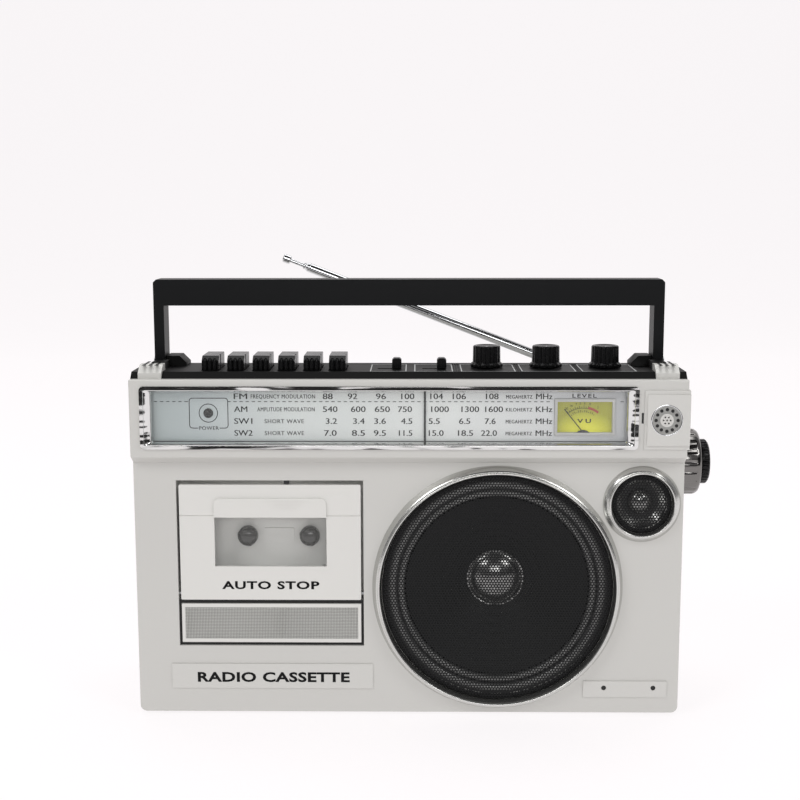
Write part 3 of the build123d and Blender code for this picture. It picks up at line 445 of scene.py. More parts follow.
cabinet = "cabinet"
for node, material, radius, steps, slotName in (
        ("front_cabinet", silverLacquer, 0.7, 3, "silver_abs"),
        ("rear_cabinet", silverLacquer, 0.7, 3, "silver_abs"),
        ("dial_fascia", silverLacquer, 0.8, 3, "silver_abs"),
        ("microphone", silverLacquer, 0.3, 2, "silver_abs"),
        ("top_deck", deckBlack, 0.4, 2, "black_abs"),
        ("deck_end_caps", plateLacquer, 0.5, 3, "chrome"),
        ("dial_bezel", rippledChrome, 0.6, 3, "chrome"),
        ("battery_door", silverLacquer, 0.4, 2, "silver_abs"),
        ("front_plates", plateLacquer, 0.2, 2, "aluminium"),
        ("rubber_feet", blackRubber, 0.5, 2, "rubber"),
        ("cassette_well", greyAbs, 0.4, 2, "silver_abs"),
        ("cassette_holder", mattBlack, 0.3, 2, "matte_black"),
        ("sockets", mattBlack, 0.3, 2, "matte_black")):
    roundedCopy(node, material, radius, steps, slotName)
print("cabinet shells made")


def deckMarkings():
    # thin engraved borders round the control plates, filled with pale ink
    deck = {"top": 235.0, "front": 3.4, "back": 40.0, "line": 0.7}
    plates = ((-25.0, -1.5), (4.4, 29.4), (35.5, 71.0), (75.6, 111.0), (115.6, 151.0))
    shapes = [ribbon(cornersOf(x0, x1, deck["front"], deck["back"]), deck["line"], closed=True) for x0,
              x1 in plates]
    printed("deck_markings", shapes, whiteInk, cabinet, onTop(up(deck["top"]) + 0.02 * mm), "black_abs")
    # three flat black strips running back over each pale end cap: painted shade standing in for its grooves
    low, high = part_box("deck_end_caps")
    front = (low[1] - frontFace) / mm
    groove_shades = [patch(x - 0.95, x + 0.95, front + 0.4, front + 24)
               for middle in (-170.7, 170.7) for x in (middle - 4.2, middle, middle + 4.2)]
    printed("cap_groove_painted_shade", groove_shades, mattBlack, cabinet, onTop(high[2] + 0.03 * mm), "matte_black")


def bezelFlank():
    # broad sloping frame inside the chrome rail, 4.6 mm wide at the ends and 1.4 mm above and below
    low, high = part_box("dial_bezel")
    flank = {"rail": 2.5, "ends": 4.8, "sides": 1.5, "front": 0.35, "back": 2.9}
    x0, x1 = low[0] / mm + flank["rail"], high[0] / mm - flank["rail"]
    z0, z1 = (low[2] - underside) / mm + flank["rail"], (high[2] - underside) / mm - flank["rail"]
    rings, seat = [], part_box("dial_window")[0][1]
    for share, y in ((0, low[1] + flank["front"] * mm), (0.12, low[1] + flank["front"] * mm),
                     (0.5, low[1] + 1.2 * mm),
                     (1, low[1] + flank["back"] * mm), (1.06, seat)):
        ends, sides = flank["ends"] * share, flank["sides"] * share
        ring = roundedRectangle(x0 + ends, x1 - ends, z0 + sides, z1 - sides, 1.6)
        rings.append([(x * mm, y, up(z)) for x, z in ring])
    points = np.array(rings)
    mesh = meshFrom("bezel_flank", points, gridFaces(*points.shape[:2], closeColumns=True)[:, ::-1])
    finishPiece("dial_bezel_flank", mesh, rippledChrome, cabinet, (), "chrome", 50)


deckMarkings()
bezelFlank()


def dialPrinting():
    # scale rows: band, its name, the numbers, the unit in words and short
    rows = (
        ("FM", "FREQUENCY MODULATION", (-104.2, -61.6), 217.1, (("88", -56.5, -50.0), ("92", -39.9, -33.8),
         ("96", -21.3, -14.8), ("100", -4.6, 4.0), ("104", 14.6, 22.9), ("106", 29.4, 38.1),
         ("108", 51.3, 59.6)),
         "MEGAHERTZ", "MHz"),
        ("AM", "AMPLITUDE MODULATION", (-100.0, -62.0), 208.5,
         (("540", -56.5, -46.9), ("600", -37.9, -28.3),
         ("650", -22.1, -12.2), ("750", -6.8, 2.4), ("1000", 15.2, 26.8), ("1300", 35.2, 46.8),
         ("1600", 50.9, 62.6)),
         "KILOHERTZ", "KHz"),
        ("SW1", "SHORT WAVE", (-95.3, -69.2), 200.5, (("3.2", -54.6, -47.3), ("3.4", -36.5, -29.0),
         ("3.6", -22.5, -14.9), ("4.5", -4.8, 2.6), ("5.5", 13.6, 20.8), ("6.5", 33.7, 41.0),
         ("7.6", 50.7, 57.8)),
         "MEGAHERTZ", "MHz"),
        ("SW2", "SHORT WAVE", (-95.3, -69.2), 192.5, (("7.0", -55.8, -47.6), ("8.5", -37.4, -28.8),
         ("9.5", -22.8, -14.9), ("11.5", -6.2, 2.6), ("15.0", 13.6, 23.4), ("18.5", 33.0, 42.9),
         ("22.0", 48.3, 58.7)),
         "MEGAHERTZ", "MHz"),
    )
    dial = {"capital": 4.0, "small": 2.9, "bandX": -115.5, "unitX": (64.6, 82.0), "shortX": (84.4, 95.2),
            "dashZ": 215.4, "line": 0.55}
    shapes = [disc(-132.5, 207.7, 2.6)]
    for band, words, (x0, x1), z, numbers, unit, short in rows:
        shapes.append(letters(band, dial["bandX"], z, dial["capital"], 8.8 if len(band) == 2 else 12.0,
                double=0.22))
        shapes.append(letters(words, x0, z + 0.4, dial["small"], x1 - x0, spacing=1.12, double=0.12))
        shapes += [letters(text, left, z, dial["capital"], right - left, double=0.22) for text, left,
                   right in numbers]
        shapes.append(letters(unit, dial["unitX"][0], z + 0.4, 2.5, dial["unitX"][1] - dial["unitX"][0],
                spacing=1.12,
                              double=0.18))
        shapes.append(letters(short, dial["shortX"][0], z, dial["capital"],
                dial["shortX"][1] - dial["shortX"][0], double=0.22))
    box = roundedRectangle(-145.1, -119.5, 197.6, 217.7, 2.0)
    gapStart = [p for p in box if not (-139.6 < p[0] < -125.0 and p[1] < 199)]
    # the border starts right of the lamp's name and runs round to its left
    lead = [(-125.2, 197.6)] + box[18:] + box[:18] + [(-139.4, 197.6)]
    shapes.append(ribbon([p for p in lead if p in gapStart or p in (lead[0], lead[-1])], dial["line"]))
    shapes.append(letters("POWER", -132.3, 196.4, 2.6, 13.0, "CENTER", spacing=1.1, double=0.1))
    ring = [(-132.5 + 6.1 * math.cos(t), 207.7 + 6.1 * math.sin(t))
            for t in np.linspace(0, 2 * math.pi, 48, endpoint=False)]
    shapes.append(ribbon(ring, dial["line"], closed=True))
    for x in np.arange(-168.5, 143, 4.06):
        if not (-144.5 < x < -122 or 94 < x < 138):
            shapes.append(ribbon([(x, dial["dashZ"]), (x + 2.2, dial["dashZ"])], 0.5))
    shapes.append(ribbon([(-171, 188.6), (145, 188.6)], dial["line"]))
    shapes.append(letters("LEVEL", 116.4, 218.2, 2.6, 16, "CENTER", bold=0.02, spacing=1.3))
    printed("dial_printing", shapes, blackInk, cabinet, onFront(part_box("dial_plate")[0][1] - 0.02 * mm),
            "aluminium")


def levelMeter():
    # card, scale and hub cover of the level meter, set in the raised frame of its case
    low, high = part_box("vu_meter_case")
    x0, x1, z0, z1 = faceOf("vu_meter_case")
    pivot = joints["vu_needle_swing"]["pos_m"]
    px, pz = pivot[0] / mm, (pivot[2] - underside) / mm
    cardY = low[1] + 2.2 * mm
    face = roundedRectangle(x0 + 2, x1 - 2, z0 + 2, z1 - 2, 0.4)
    printed("meter_card", [(np.array(face), [list(range(len(face)))])], card, cabinet, onFront(cardY),
            "meter")
    scale = {"radius": 18.3, "from": 128, "to": 52, "redFrom": 78, "line": 0.3, "tick": 0.36}

    def arc(radius, a0, a1, steps=24):
        return [(px + radius * math.cos(a), pz + radius * math.sin(a))
                for a in np.radians(np.linspace(a0, a1, steps))]

    black = [ribbon(arc(scale["radius"] - 2.4, scale["from"], scale["redFrom"]), scale["line"])]
    for k, angle in enumerate(np.linspace(scale["from"], scale["redFrom"], 11)):
        inner, outer = scale["radius"] - 2.4, scale["radius"] - (0.6 if k % 2 == 0 else 1.2)
        black.append(ribbon([arc(inner, angle, angle, 1)[0], arc(outer, angle, angle, 1)[0]],
                            scale["tick"]))
    for k, angle in enumerate(np.linspace(scale["from"] - 4, scale["to"] + 6, 13)):
        black.append(ribbon([arc(scale["radius"] - 5.2, angle, angle, 1)[0],
                             arc(scale["radius"] - (3.6 if k % 3 else 4.4), angle, angle, 1)[0]],
                             scale["tick"]))
    black.append(letters("V U", px + 0.8, z0 + 8.3, 2.7, 9.2, "CENTER", bold=0.03))
    for number, angle in (("20", 126), ("10", 115), ("7", 104), ("5", 96), ("3", 87), ("0", 76), ("3", 58)):
        u, v = arc(scale["radius"] + 0.2, angle, angle, 1)[0]
        black.append(letters(number, u, v, 1.5, align="CENTER", bold=0.01))
    printed("meter_scale", black, blackInk, cabinet, onFront(cardY - 0.05 * mm), "meter")
    red = [ribbon(arc(scale["radius"] - 1.9, scale["redFrom"], scale["to"]), 1.6)]
    printed("meter_red_zone", red, redInk, cabinet, onFront(cardY - 0.06 * mm), "meter")
    hub = [(px - 4.4, z0 + 2.0)] + arcProfile((px, z0 - 2.4), 6.2, 135, 45, 12) + [(px + 4.4, z0 + 2.0)]
    printed("meter_hub_cover", [(np.array(hub), [list(range(len(hub)))])], mattBlack, cabinet,
            onFront(low[1] + 0.75 * mm), "meter", 0.5)


dress("dial_plate", foil)
dress("dial_window", clearStyrene)
dress("dial_pointer", blackInk)
dress("vu_meter_needle", blackInk)
dress("power_lamp", lampLens)
roundedCopy("vu_meter_case", brushedAluminium, 0.25, 2, "meter")
dialPrinting()
levelMeter()
print("dial made")


def rosetteMiddle():
    low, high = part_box("microphone")
    return high[0] - 15.4 * mm, low[1], (low[2] + high[2]) / 2


def microphoneRosette():
    # bright dished ring with a raised rim round the twelve openings, and a pale centre
    rosette = {"radius": 10.0, "holes": 12, "holeRing": 7.2, "hole": 1.25}
    x, y, z = rosetteMiddle()
    r = rosette["radius"]
    rim = [(r + 0.5, 0.3), (r + 0.35, -0.25), (r, -0.35), (r - 0.35, -0.25), (r - 0.6, 0.3)]
    latheIt("microphone_rim", rim, (x, y + 0.05 * mm, z), (0, 1, 0), metallised, cabinet, slotName="chrome")
    ring = rosette["holeRing"]
    flat = [disc(x / mm + ring * math.cos(a), (z - underside) / mm + ring * math.sin(a), rosette["hole"],
                 16)
            for a in np.linspace(0, 2 * math.pi, rosette["holes"], endpoint=False)]
    printed("microphone_mesh", flat, mattBlack, cabinet, onFront(y + 0.5 * mm), "matte_black")
    # black patch on the fascia where its slot opens: painted shade standing in for the slot's depth
    printed("fascia_slot_painted_shade", [patch(153.3, 154.7, 201.9, 209.0)], mattBlack, cabinet,
            onFront(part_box("dial_fascia")[0][1] - 0.02 * mm),
            "matte_black")


def micMaterial():
    # silver lacquer with a burnished band between the hub and the rim of the rosette
    material = grained("silverLacquerBurnished", "#CBCAC6", 0.12, 0.42, 0.5, 0.02, "#C3C2BE")
    tree = material.node_tree
    shader = tree.nodes["Principled BSDF"]
    x, _, z = rosetteMiddle()
    where = addNode(tree, "TexCoord")
    centred = addNode(tree, "Mapping", {"Location": (-x, 0, -z), "Scale": (1, 0, 1)},
                      {"Vector": (where, "Object")})
    distance = addNode(tree, "VectorMath", {"operation": "LENGTH"}, {0: (centred, "Vector")})
    inside = addNode(tree, "Math", {"operation": "LESS_THAN", 1: 9.7 * mm}, {0: (distance, "Value")})
    outside = addNode(tree, "Math", {"operation": "GREATER_THAN", 1: 4.4 * mm}, {0: (distance, "Value")})
    band = addNode(tree, "Math", {"operation": "MULTIPLY"}, {0: (inside, 0), 1: (outside, 0)})
    mix = addNode(tree, "Mix", {"data_type": "RGBA", 6: toLinear("#CBCAC6"), 7: toLinear("#A4A4A1")},
                  {0: (band, 0)})
    tree.links.new(mix.outputs[2], shader.inputs["Base Color"])
    metal = addNode(tree, "MapRange", {3: 0.12, 4: 0.85}, {0: (band, 0)})
    tree.links.new(metal.outputs[0], shader.inputs["Metallic"])
    return material


microphoneRosette()
bpy.data.objects["microphone_shell"].data.materials[0] = micMaterial()


def pianoKeys():
    # each key: the moulded cap, and three half-round ribs down its front
    key = {"ribs": 3, "ribRadius": 1.5, "top": 243.6, "foot": 235.2}
    for name in ("pause", "stop", "forward", "rewind", "play", "record"):
        node = "key_" + name
        roundedCopy(node, glossBlackAbs, 1.8, 4, "black_abs")
        low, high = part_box(node)
        width = (high[0] - low[0]) / mm
        z = np.array([key["foot"], key["top"] - 2.2, key["top"] - 1.0, key["top"] - 0.2, key["top"] + 0.1])
        size = np.array([1.0, 1.0, 0.85, 0.5, 0.05]) * key["ribRadius"]
        a = np.linspace(0, math.pi, 9)
        verts, faces, count = [], [], 0
        for k in range(key["ribs"]):
            x = low[0] / mm + width * (k + 0.75) / (key["ribs"] + 0.5)
            # half circle round the rib's line, shrinking to nothing at its top
            u = x + size[:, None] * np.cos(a)[None]
            v = -size[:, None] * np.sin(a)[None]
            points = np.stack([u * mm, low[1] + v * mm + 0.05 * mm, up(z)[:, None] + 0 * u], -1)
            verts.append(points.reshape(-1, 3))
            faces.append(gridFaces(len(z), len(a)) + count)
            count += points.shape[0] * points.shape[1]
        mesh = meshFrom("ribs_" + name, np.concatenate(verts), np.concatenate(faces))
        finishPiece("key_ribs_" + name, mesh, glossBlackAbs, bodyOf[node], (), "black_abs", 50)


def topKnobs():
    # fluted barrel over a scalloped skirt, with a dished top and a white line to set it by
    knob = {"barrel": 9.2, "skirt": 11.1, "height": 14.5, "flutes": 18, "fluteDepth": 0.55, "lobes": 12,
            "lobeDepth": 0.8}

    def flutedRadius(r, s, t):
        flute = knob["fluteDepth"] * np.abs(np.sin(knob["flutes"] * t / 2)) ** 0.6 - knob["fluteDepth"]
        lobe = knob["lobeDepth"] * np.abs(np.cos(knob["lobes"] * t / 2)) ** 0.5 - knob["lobeDepth"]
        onBarrel = ((s > 3.0) & (s < knob["height"] - 0.6) & (r > 5)).astype(float)
        onSkirt = ((s <= 2.6) & (r > 5)).astype(float)
        return r + flute * onBarrel + lobe * onSkirt

    for name in ("volume", "bass", "treble"):
        node = name + "_knob"
        low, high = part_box(node)
        x, y = (low[0] + high[0]) / 2, (low[1] + high[1]) / 2
        base = high[2] - knob["height"] * mm
        b, h = knob["barrel"], knob["height"]
        profile = ([(0, 0), (knob["skirt"] - 0.3, 0), (knob["skirt"], 0.4), (knob["skirt"], 1.9),
                    (knob["skirt"] - 0.6, 2.5),
                    (b + 0.5, 3.0), (b + 0.2, 3.4), (b + 0.1, 6), (b, h - 2.0)]
                   + arcProfile((b - 1.2, h - 1.2), 1.2, 0, 90, 6) + [(b - 2.2, h - 0.1),
                           (b - 2.8, h - 0.5), (0, h - 0.6)])
        latheIt(node + "_fluted", profile, (x, y, base), (0, 0, 1), glossBlackAbs, bodyOf[node], (node,),
                "black_abs",
                segments=216, radiusOf=flutedRadius)
        line = [patch(-0.45, 0.45, -8.0, -1.5)]

        def place(u, v, lift, x=x, y=y, z=high[2]):
            return np.stack([x + u * mm, y + v * mm, np.full(len(u), z - 0.45 * mm + lift * mm)], 1)
        printed(node + "_line", line, whiteInk, bodyOf[node], place, "black_abs")
        latheIt(node + "_shaft", [(0, -11), (3, -11), (3, 0.2), (0, 0.2)], (x, y, base), (0, 0, 1),
                zincSteel,
                bodyOf[node], slotName="steel", segments=32)


def tuningKnobs():
    # milled wheel and a smaller knob in front of it, on one axis
    wheel = {"teeth": 20, "toothDepth": 0.7, "fineTeeth": 32, "fineDepth": 0.6}
    low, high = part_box("tuning_knob")
    x0, x1 = high[0] / mm - 18.5, high[0] / mm
    centre = (0, (low[1] + high[1]) / 2, (low[2] + high[2]) / 2)
    r = (high[2] - low[2]) / 2 / mm

    def milled(radius, s, t):
        tooth = wheel["toothDepth"] * np.clip(1.4 * np.abs(np.sin(wheel["teeth"] * t / 2)), 0,
                1) - wheel["toothDepth"]
        return radius + tooth * ((radius > r - 1.5) & (s > x0 + 2.6) & (s < x1 - 4.0)).astype(float)

    profile = [(0, x0), (r - 1.5, x0), (r - 0.6, x0 + 0.5), (r - 0.2, x0 + 2.2), (r - 0.2, x0 + 2.5),
               (r, x0 + 2.9), (r, x0 + 8),
               (r, x1 - 4.6), (r - 0.2, x1 - 3.9), (r - 0.5, x1 - 2.6), (r - 1.6, x1 - 1.2),
               (r - 4.4, x1 - 0.2),
               (r - 5.6, x1 - 0.9), (r - 6.4, x1 - 0.9), (0, x1 - 0.9)]
    latheIt("tuning_wheel", profile, centre, (1, 0, 0), blackNickel, "tuning", ("tuning_knob",), "chrome",
            352,
            milled)
    latheIt("tuning_shaft", [(0, 148), (4, 148), (4, x0 + 1), (0, x0 + 1)], centre, (1, 0, 0), zincSteel,
            "tuning",
            slotName="steel", segments=40)
    low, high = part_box("fine_tuning_knob")
    f0, f1 = high[0] / mm - 6.1, high[0] / mm
    q = (high[2] - low[2]) / 2 / mm

    def fineMilled(radius, s, t):
        tooth = wheel["fineDepth"] * np.clip(1.4 * np.abs(np.sin(wheel["fineTeeth"] * t / 2)), 0,
                1) - wheel["fineDepth"]
        return radius + tooth * ((radius > q - 1) & (s > f0 + 0.7) & (s < f1 - 1.5)).astype(float)

    profile = [(0, f0), (q - 0.6, f0), (q, f0 + 0.6), (q, f0 + 0.8), (q, f1 - 1.8), (q - 0.3, f1 - 1.2),
               (q - 1.5, f1 - 0.2),
               (q - 2.4, f1), (q - 3.2, f1 - 0.5), (6, f1 - 0.7), (0, f1 - 0.7)]
    latheIt("fine_tuning_cap", profile, centre, (1, 0, 0), glossBlackAbs, "fine_tuning",
            ("fine_tuning_knob",),
            "black_abs", 256, fineMilled)
    ring = [(9.0, f1 - 0.75), (9.4, f1 - 0.45), (11.2, f1 - 0.45), (11.6, f1 - 0.75)]
    latheIt("fine_tuning_trim", ring, centre, (1, 0, 0), metallised, "fine_tuning", slotName="chrome",
            segments=96)


pianoKeys()
topKnobs()
roundedCopy("function_switch", glossBlackAbs, 0.5, 3, "black_abs")
roundedCopy("band_switch", glossBlackAbs, 0.5, 3, "black_abs")
tuningKnobs()
print("controls made")


roundedCopy("carry_handle", grainedBlackAbs, 1.0, 3, "black_abs")


def antenna():
    # tubes turned about the line of the antenna, each end crimped
    pivot = np.array(joints["antenna_tilt"]["pos_m"])
    along = joints["antenna_telescope"]["axis"]
    total, start = 209.0, 8.0  # mm from the pivot
    e = total - 19
    profile = [(0, start), (2.9, start), (3.5, 8.8), (3.5, 20), (3.5, 60), (3.5, 120), (3.5, e - 3.2),
               (3.5, e - 2.6),
               (3.35, e - 2.3), (3.5, e - 2.0), (3.5, e - 0.8), (3.25, e - 0.2), (3.06, e), (0, e)]
    latheIt("antenna_outer_tube", profile, pivot, along, platedBrass, "antenna_outer", ("antenna_tube",),
            "chrome", 48)
    profile = [(0, 50), (3.0, 50), (3.0, 110), (3.0, total - 19.2), (2.95, total - 18.6),
               (2.3, total - 17.6),
               (2.5, total - 17.2), (2.5, total - 16.4), (2.0, total - 16), (0, total - 16)]
    latheIt("antenna_middle_tube", profile, pivot, along, platedBrass, "antenna_mid",
            ("antenna_middle_section",),
            "chrome", 48)
    profile = [(0, 70), (1.5, 70), (1.5, 130), (1.5, total - 6.2), (2.6, total - 6.0), (3.15, total - 5.4),
               (3.25, total - 4.6),
               (3.25, total - 1.6)] + arcProfile((2.0, total - 1.25), 1.25, 0, 80, 6) + [(0, total)]
    latheIt("antenna_tip", profile, pivot, along, platedBrass, "antenna_tip", ("antenna_tip_rod",),
            "chrome", 48)
    # flat tongue between the turret's ears, with a rounded end
    axis, side, other = np.array(along), np.array([0, 1, 0]), np.cross(along, [0, 1, 0])
    outline = [(9.0, 2.3)] + [(2.3 * math.cos(a), 2.3 * math.sin(a))
            for a in np.radians(np.linspace(90, 270, 12))] + [(9.0, -2.3)]
    ring = np.array(outline)
    layers = [(-2.5, 0.82), (-2.2, 1.0), (2.2, 1.0), (2.5, 0.82)]
    points = np.stack([pivot + mm * (s * ring[:, :1] * axis + s * ring[:, 1:] * other + h * side) for h,
                       s in layers])
    n = len(ring)
    faces = [list(f) for f in gridFaces(4, n, closeColumns=True)]
    faces += [list(range(n))[::-1], list(range(3 * n, 4 * n))]
    mesh = meshFrom("antenna_tongue", points, faces)
    finishPiece("antenna_tongue", mesh, platedBrass, "antenna_outer", (), "chrome")
    roundedCopy("antenna_turret", platedBrass, 0.3, 2, "chrome")


antenna()
print("handle and antenna made")


def cassetteDoor():
    roundedCopy("cassette_door", paleLacquer, 0.35, 3, "silver_abs")
    dress("door_window", smokedStyrene)
    frame["nodes"]["door_window"].visible_shadow = False
    shapes = [letters("AUTO STOP", -93.1, 86.9, 5.4, 66.0, "CENTER", bold=0.034, spacing=1.1)]
    printed("door_lettering", shapes, blackInk, "door", onFront(frontFace - 0.02 * mm), "silver_abs")
    # three faint raised strokes on the finger tab
    strokes = [ribbon([(-95.5 + 2 * i, z), (-69 - 3 * i, z)], 0.5) for i,
               z in enumerate((147.6, 145.3, 142.9))]
    printed("tab_strokes", strokes, paleLacquer, "door", onFront(frontFace - 1.42 * mm), "silver_abs",
            0.15)


def lowerPanel():
    # plate with a woven face: height = depth * |sin(u)| * |sin(v)| between flat borders
    low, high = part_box("lower_panel")
    panel = {"pitch": 1.05, "depth": 0.45, "border": 2.1, "perPitch": 8}
    width, height = (high[0] - low[0]) / mm, (high[2] - low[2]) / mm
    border = panel["border"]
    u = np.concatenate([[0, 0.15, border - 0.05],
                        np.linspace(border, width - border, int((width - 2 * border) / panel["pitch"]
                        * panel["perPitch"]) // 2), [width - border + 0.05, width - 0.15, width]])
    v = np.concatenate([[0, 0.15, border + 0.4],
                        np.linspace(border + 0.5, height - border - 0.5, 16 * panel["perPitch"]),
                        [height - border - 0.4, height - 0.15, height]])
    uu, vv = np.meshgrid(u, v, indexing="ij")
    inside = ((uu > border) & (uu < width - border)
              & (vv > border + 0.5) & (vv < height - border - 0.5)).astype(float)
    pillow = (np.abs(np.sin(math.pi * uu / panel["pitch"]))
              * np.abs(np.sin(math.pi * vv / panel["pitch"]))) ** 0.5
    drop = inside * panel["depth"] * (1 - pillow)
    edge = (uu < 0.1) | (uu > width - 0.1) | (vv < 0.1) | (vv > height - 0.1)
    y = low[1] + mm * (drop + 0.15 * edge)
    points = np.stack([low[0] + uu * mm, y, low[2] + vv * mm], -1)
    rows, columns = uu.shape
    faces = [list(f) for f in gridFaces(rows, columns)]
    # skirt and back
    ring = ([(i, 0) for i in range(rows)] + [(rows - 1, j) for j in range(1, columns)]
            + [(i, columns - 1) for i in range(rows - 2, -1, -1)] + [(0, j)
                    for j in range(columns - 2, 0, -1)])
    index = [i * columns + j for i, j in ring]
    back = points.reshape(-1, 3)[index].copy()
    back[:, 1] = high[1]
    start, n = rows * columns, len(index)
    faces += [[index[k], index[(k + 1) % n], start + (k + 1) % n, start + k] for k in range(n)]
    faces.append([start + k for k in range(n)][::-1])
    verts = np.concatenate([points.reshape(-1, 3), back])
    mesh = meshFrom("lower_panel_woven", verts, faces)
    deep = np.empty(len(mesh.vertices) * 3)
    mesh.vertices.foreach_get("co", deep)
    # depth of each point below the crossings: the mask of the painted shade in the hollows
    hollow = np.clip((deep[1::3] - low[1]) / (0.25 * mm), 0, 1)
    mesh.attributes.new("hollow", "FLOAT", "POINT").data.foreach_set("value", hollow)
    finishPiece("lower_panel_woven", mesh, woven, cabinet, ("lower_panel",),
                "silver_abs", 60)
    # flat pale border round the weave, and a matt black strip set behind the gap round the whole plate: painted
    # shade in the gap
    x0, x1, z0, z1 = faceOf("lower_panel")
    edging = cornersOf(x0 + 1.1, x1 - 1.1, z0 + 1.3, z1 - 1.3)
    printed("lower_panel_border", [ribbon(edging, 2.0, closed=True)], paleLacquer, cabinet,
            onFront(low[1] + 0.01 * mm),
            "silver_abs")
    gap = cornersOf(x0 - 1.2, x1 + 1.2, z0 - 1.2, z1 + 1.0)
    printed("lower_panel_gap_painted_shade", [ribbon(gap, 2.6, closed=True)], mattBlack, cabinet,
            onFront(low[1] + 1.8 * mm), "matte_black")


def windingHubs():
    # glossy dark dome with three small drive splines round its shoulder
    for name, body in (("supply_spindle", "supply"), ("takeup_spindle", "takeup")):
        low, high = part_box(name)
        x, z = (low[0] + high[0]) / 2, (low[2] + high[2]) / 2
        y0 = low[1] / mm
        r = 6.9
        profile = ([(0, y0)] + [(r * math.sin(a), y0 + 4.2 * (1 - math.cos(a)))
                for a in np.radians(np.linspace(12, 88, 9))]
                   + [(r, y0 + 6.8), (2.5, y0 + 7), (2.5, y0 + 17), (8.8, y0 + 17), (8.8, y0 + 19),
                      (0, y0 + 19)])

        def splined(radius, s, t):
            lift = 0.35 * np.clip(np.cos(3 * t) * 6 - 5, 0, 1)
            return radius + lift * ((radius > 4) & (s < y0 + 6.8)).astype(float)
        latheIt(name + "_dome", profile, (x, 0, z), (0, 1, 0), hubAbs, body, (name,), "matte_black", 96,
                splined)


# dark grey polished acetal of the winding hubs
hubAbs = grained("darkPolishedAcetal", "#1B1B1A", 0.0, 0.14, 2.0, 0.01, "#20201F")
cassetteDoor()
lowerPanel()
windingHubs()


def bayDetails():
    # shallow raised rectangle between the hubs, and the dark latch in the gap over the door
    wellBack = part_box("cassette_well")[1][1] - 2 * mm
    outline = np.array(roundedRectangle(-99.3, -78.5, 114.0, 124.5, 1.0))
    printed("bay_raised_plate", [(outline, [list(range(len(outline)))])], greyAbs, cabinet,
            onFront(wellBack), "silver_abs", 0.8)
    printed("door_latch", [patch(-83.4, -79.6, 159.4, 161.7)], mattBlack, cabinet,
            onFront(frontFace + 0.9 * mm), "matte_black", 0.9)


bayDetails()
for node, material in (("mechanism_plate", zincSteel), ("capstan_flywheel", zincSteel),
        ("pinch_arm", zincSteel),
                       ("pinch_roller", blackRubber), ("head_plate", zincSteel), ("drive_motor", zincSteel),
                       ("motor_pulley", platedBrass), ("belt_and_dial_cord", blackRubber),
                       ("shafts_and_pins", zincSteel),
                       ("circuit_boards", phenolicBoard), ("battery_contacts", zincSteel),
                       ("dial_drum", mattBlack),
                       ("ferrite_aerial", phenolicBoard), ("fixing_screws", zincSteel),
                       ("speaker_drivers", mattBlack)):
    dress(node, material)
print("cassette bay made")


def perforated(radius, pitch, hole, depth):
    # honeycomb of cells; each cell is a ring of six quads round a six-sided hole, and the hole's wall
    span = int(1.2 * radius / pitch) + 2
    i, j = np.meshgrid(np.arange(-span, span + 1), np.arange(-span, span + 1), indexing="ij")
    cx = pitch * (i + 0.5 * (j % 2)).ravel()
    cz = pitch * math.sqrt(3) / 2 * j.ravel()
    keep = np.hypot(cx, cz) < radius - pitch * 0.5
    cx, cz = cx[keep], cz[keep]
    a = np.radians(np.arange(6) * 60 + 30)
    outer = pitch / math.sqrt(3)
    rings = ((outer, 0.0), (hole, 0.0), (hole, depth))
    layers = [np.stack([cx[:, None] + r * np.cos(a), np.full((len(cx), 6), y), cz[:, None] + r * np.sin(a)],
                       -1)
              for r, y in rings]
    verts = np.stack(layers, 1).reshape(-1, 3)
    base = np.arange(len(cx))[:, None] * 18
    k = np.arange(6)
    k2 = (k + 1) % 6
    quads = []
    for ring in (0, 6):
        quads.append(np.stack([base + ring + k, base + ring + k2, base + ring + 6 + k2,
                base + ring + 6 + k], -1).reshape(-1, 4))
    return verts, np.concatenate(quads)


def speakerFront(name, centre, radius, ringProfile, mesh, hole, rimWidth, gasketWidth):
    # perforated sheet with a plain rim, inside a bright conical ring
    x, z = centre
    sheetY = frontFace - 0.8 * mm
    verts, faces = perforated(radius - rimWidth + 1.2, mesh, hole, 0.5)
    verts = verts * mm + np.array([x, sheetY, z])
    piece = bpy.data.meshes.new(name + "_grille")
    piece.from_pydata(verts.tolist(), [], faces.tolist())
    shape = bmesh.new()
    shape.from_mesh(piece)
    bmesh.ops.remove_doubles(shape, verts=shape.verts, dist=2e-6)
    shape.to_mesh(piece)
    shape.free()
    sheet = finishPiece(name + "_grille", piece, blackEnamel, cabinet, ("speaker_grilles",), "grille", 30)
    # light falls through the sheet onto the cone unhindered
    sheet.visible_shadow = sheet.visible_glossy = sheet.visible_diffuse = False
    rim = [(radius - rimWidth, 0.3), (radius - rimWidth, 0.02), (radius - 0.2, 0.0),
           (radius, 0.1), (radius, 0.8), (radius - rimWidth, 0.8), (radius - rimWidth, 0.3)]
    latheIt(name + "_grille_rim", rim, (x, sheetY, z), (0, 1, 0), deckBlack, cabinet, slotName="grille",
            segments=144)
    seal = radius - gasketWidth
    gasket = [(seal, 0.55), (radius, 0.55), (radius, 0.75), (seal, 0.75), (seal, 0.55)]
    latheIt(name + "_gasket", gasket, (x, sheetY, z), (0, 1, 0), deckBlack, cabinet, slotName="rubber",
            segments=144)
    latheIt(name + "_trim_ring", ringProfile, (x, frontFace, z), (0, 1, 0), satinChrome, cabinet,
            ("speaker_trim_rings",), "chrome", segments=192, smoothBelow=28)


def ringProfile(base, rim, seat, proud):
    # broad slope from the cabinet to a rolled front edge, a step, and the steep inner wall down to the sheet
    return ([(base, 0), (base - 0.25, -0.5), (rim + 2.6, -proud + 1.9), (rim + 2.0, -proud + 1.5),
             (rim + 1.9, -proud + 0.9)]
            + arcProfile((rim + 0.75, -proud + 0.75), 0.75, 0, -180, 9) + [(seat, -0.9), (seat, 0)])


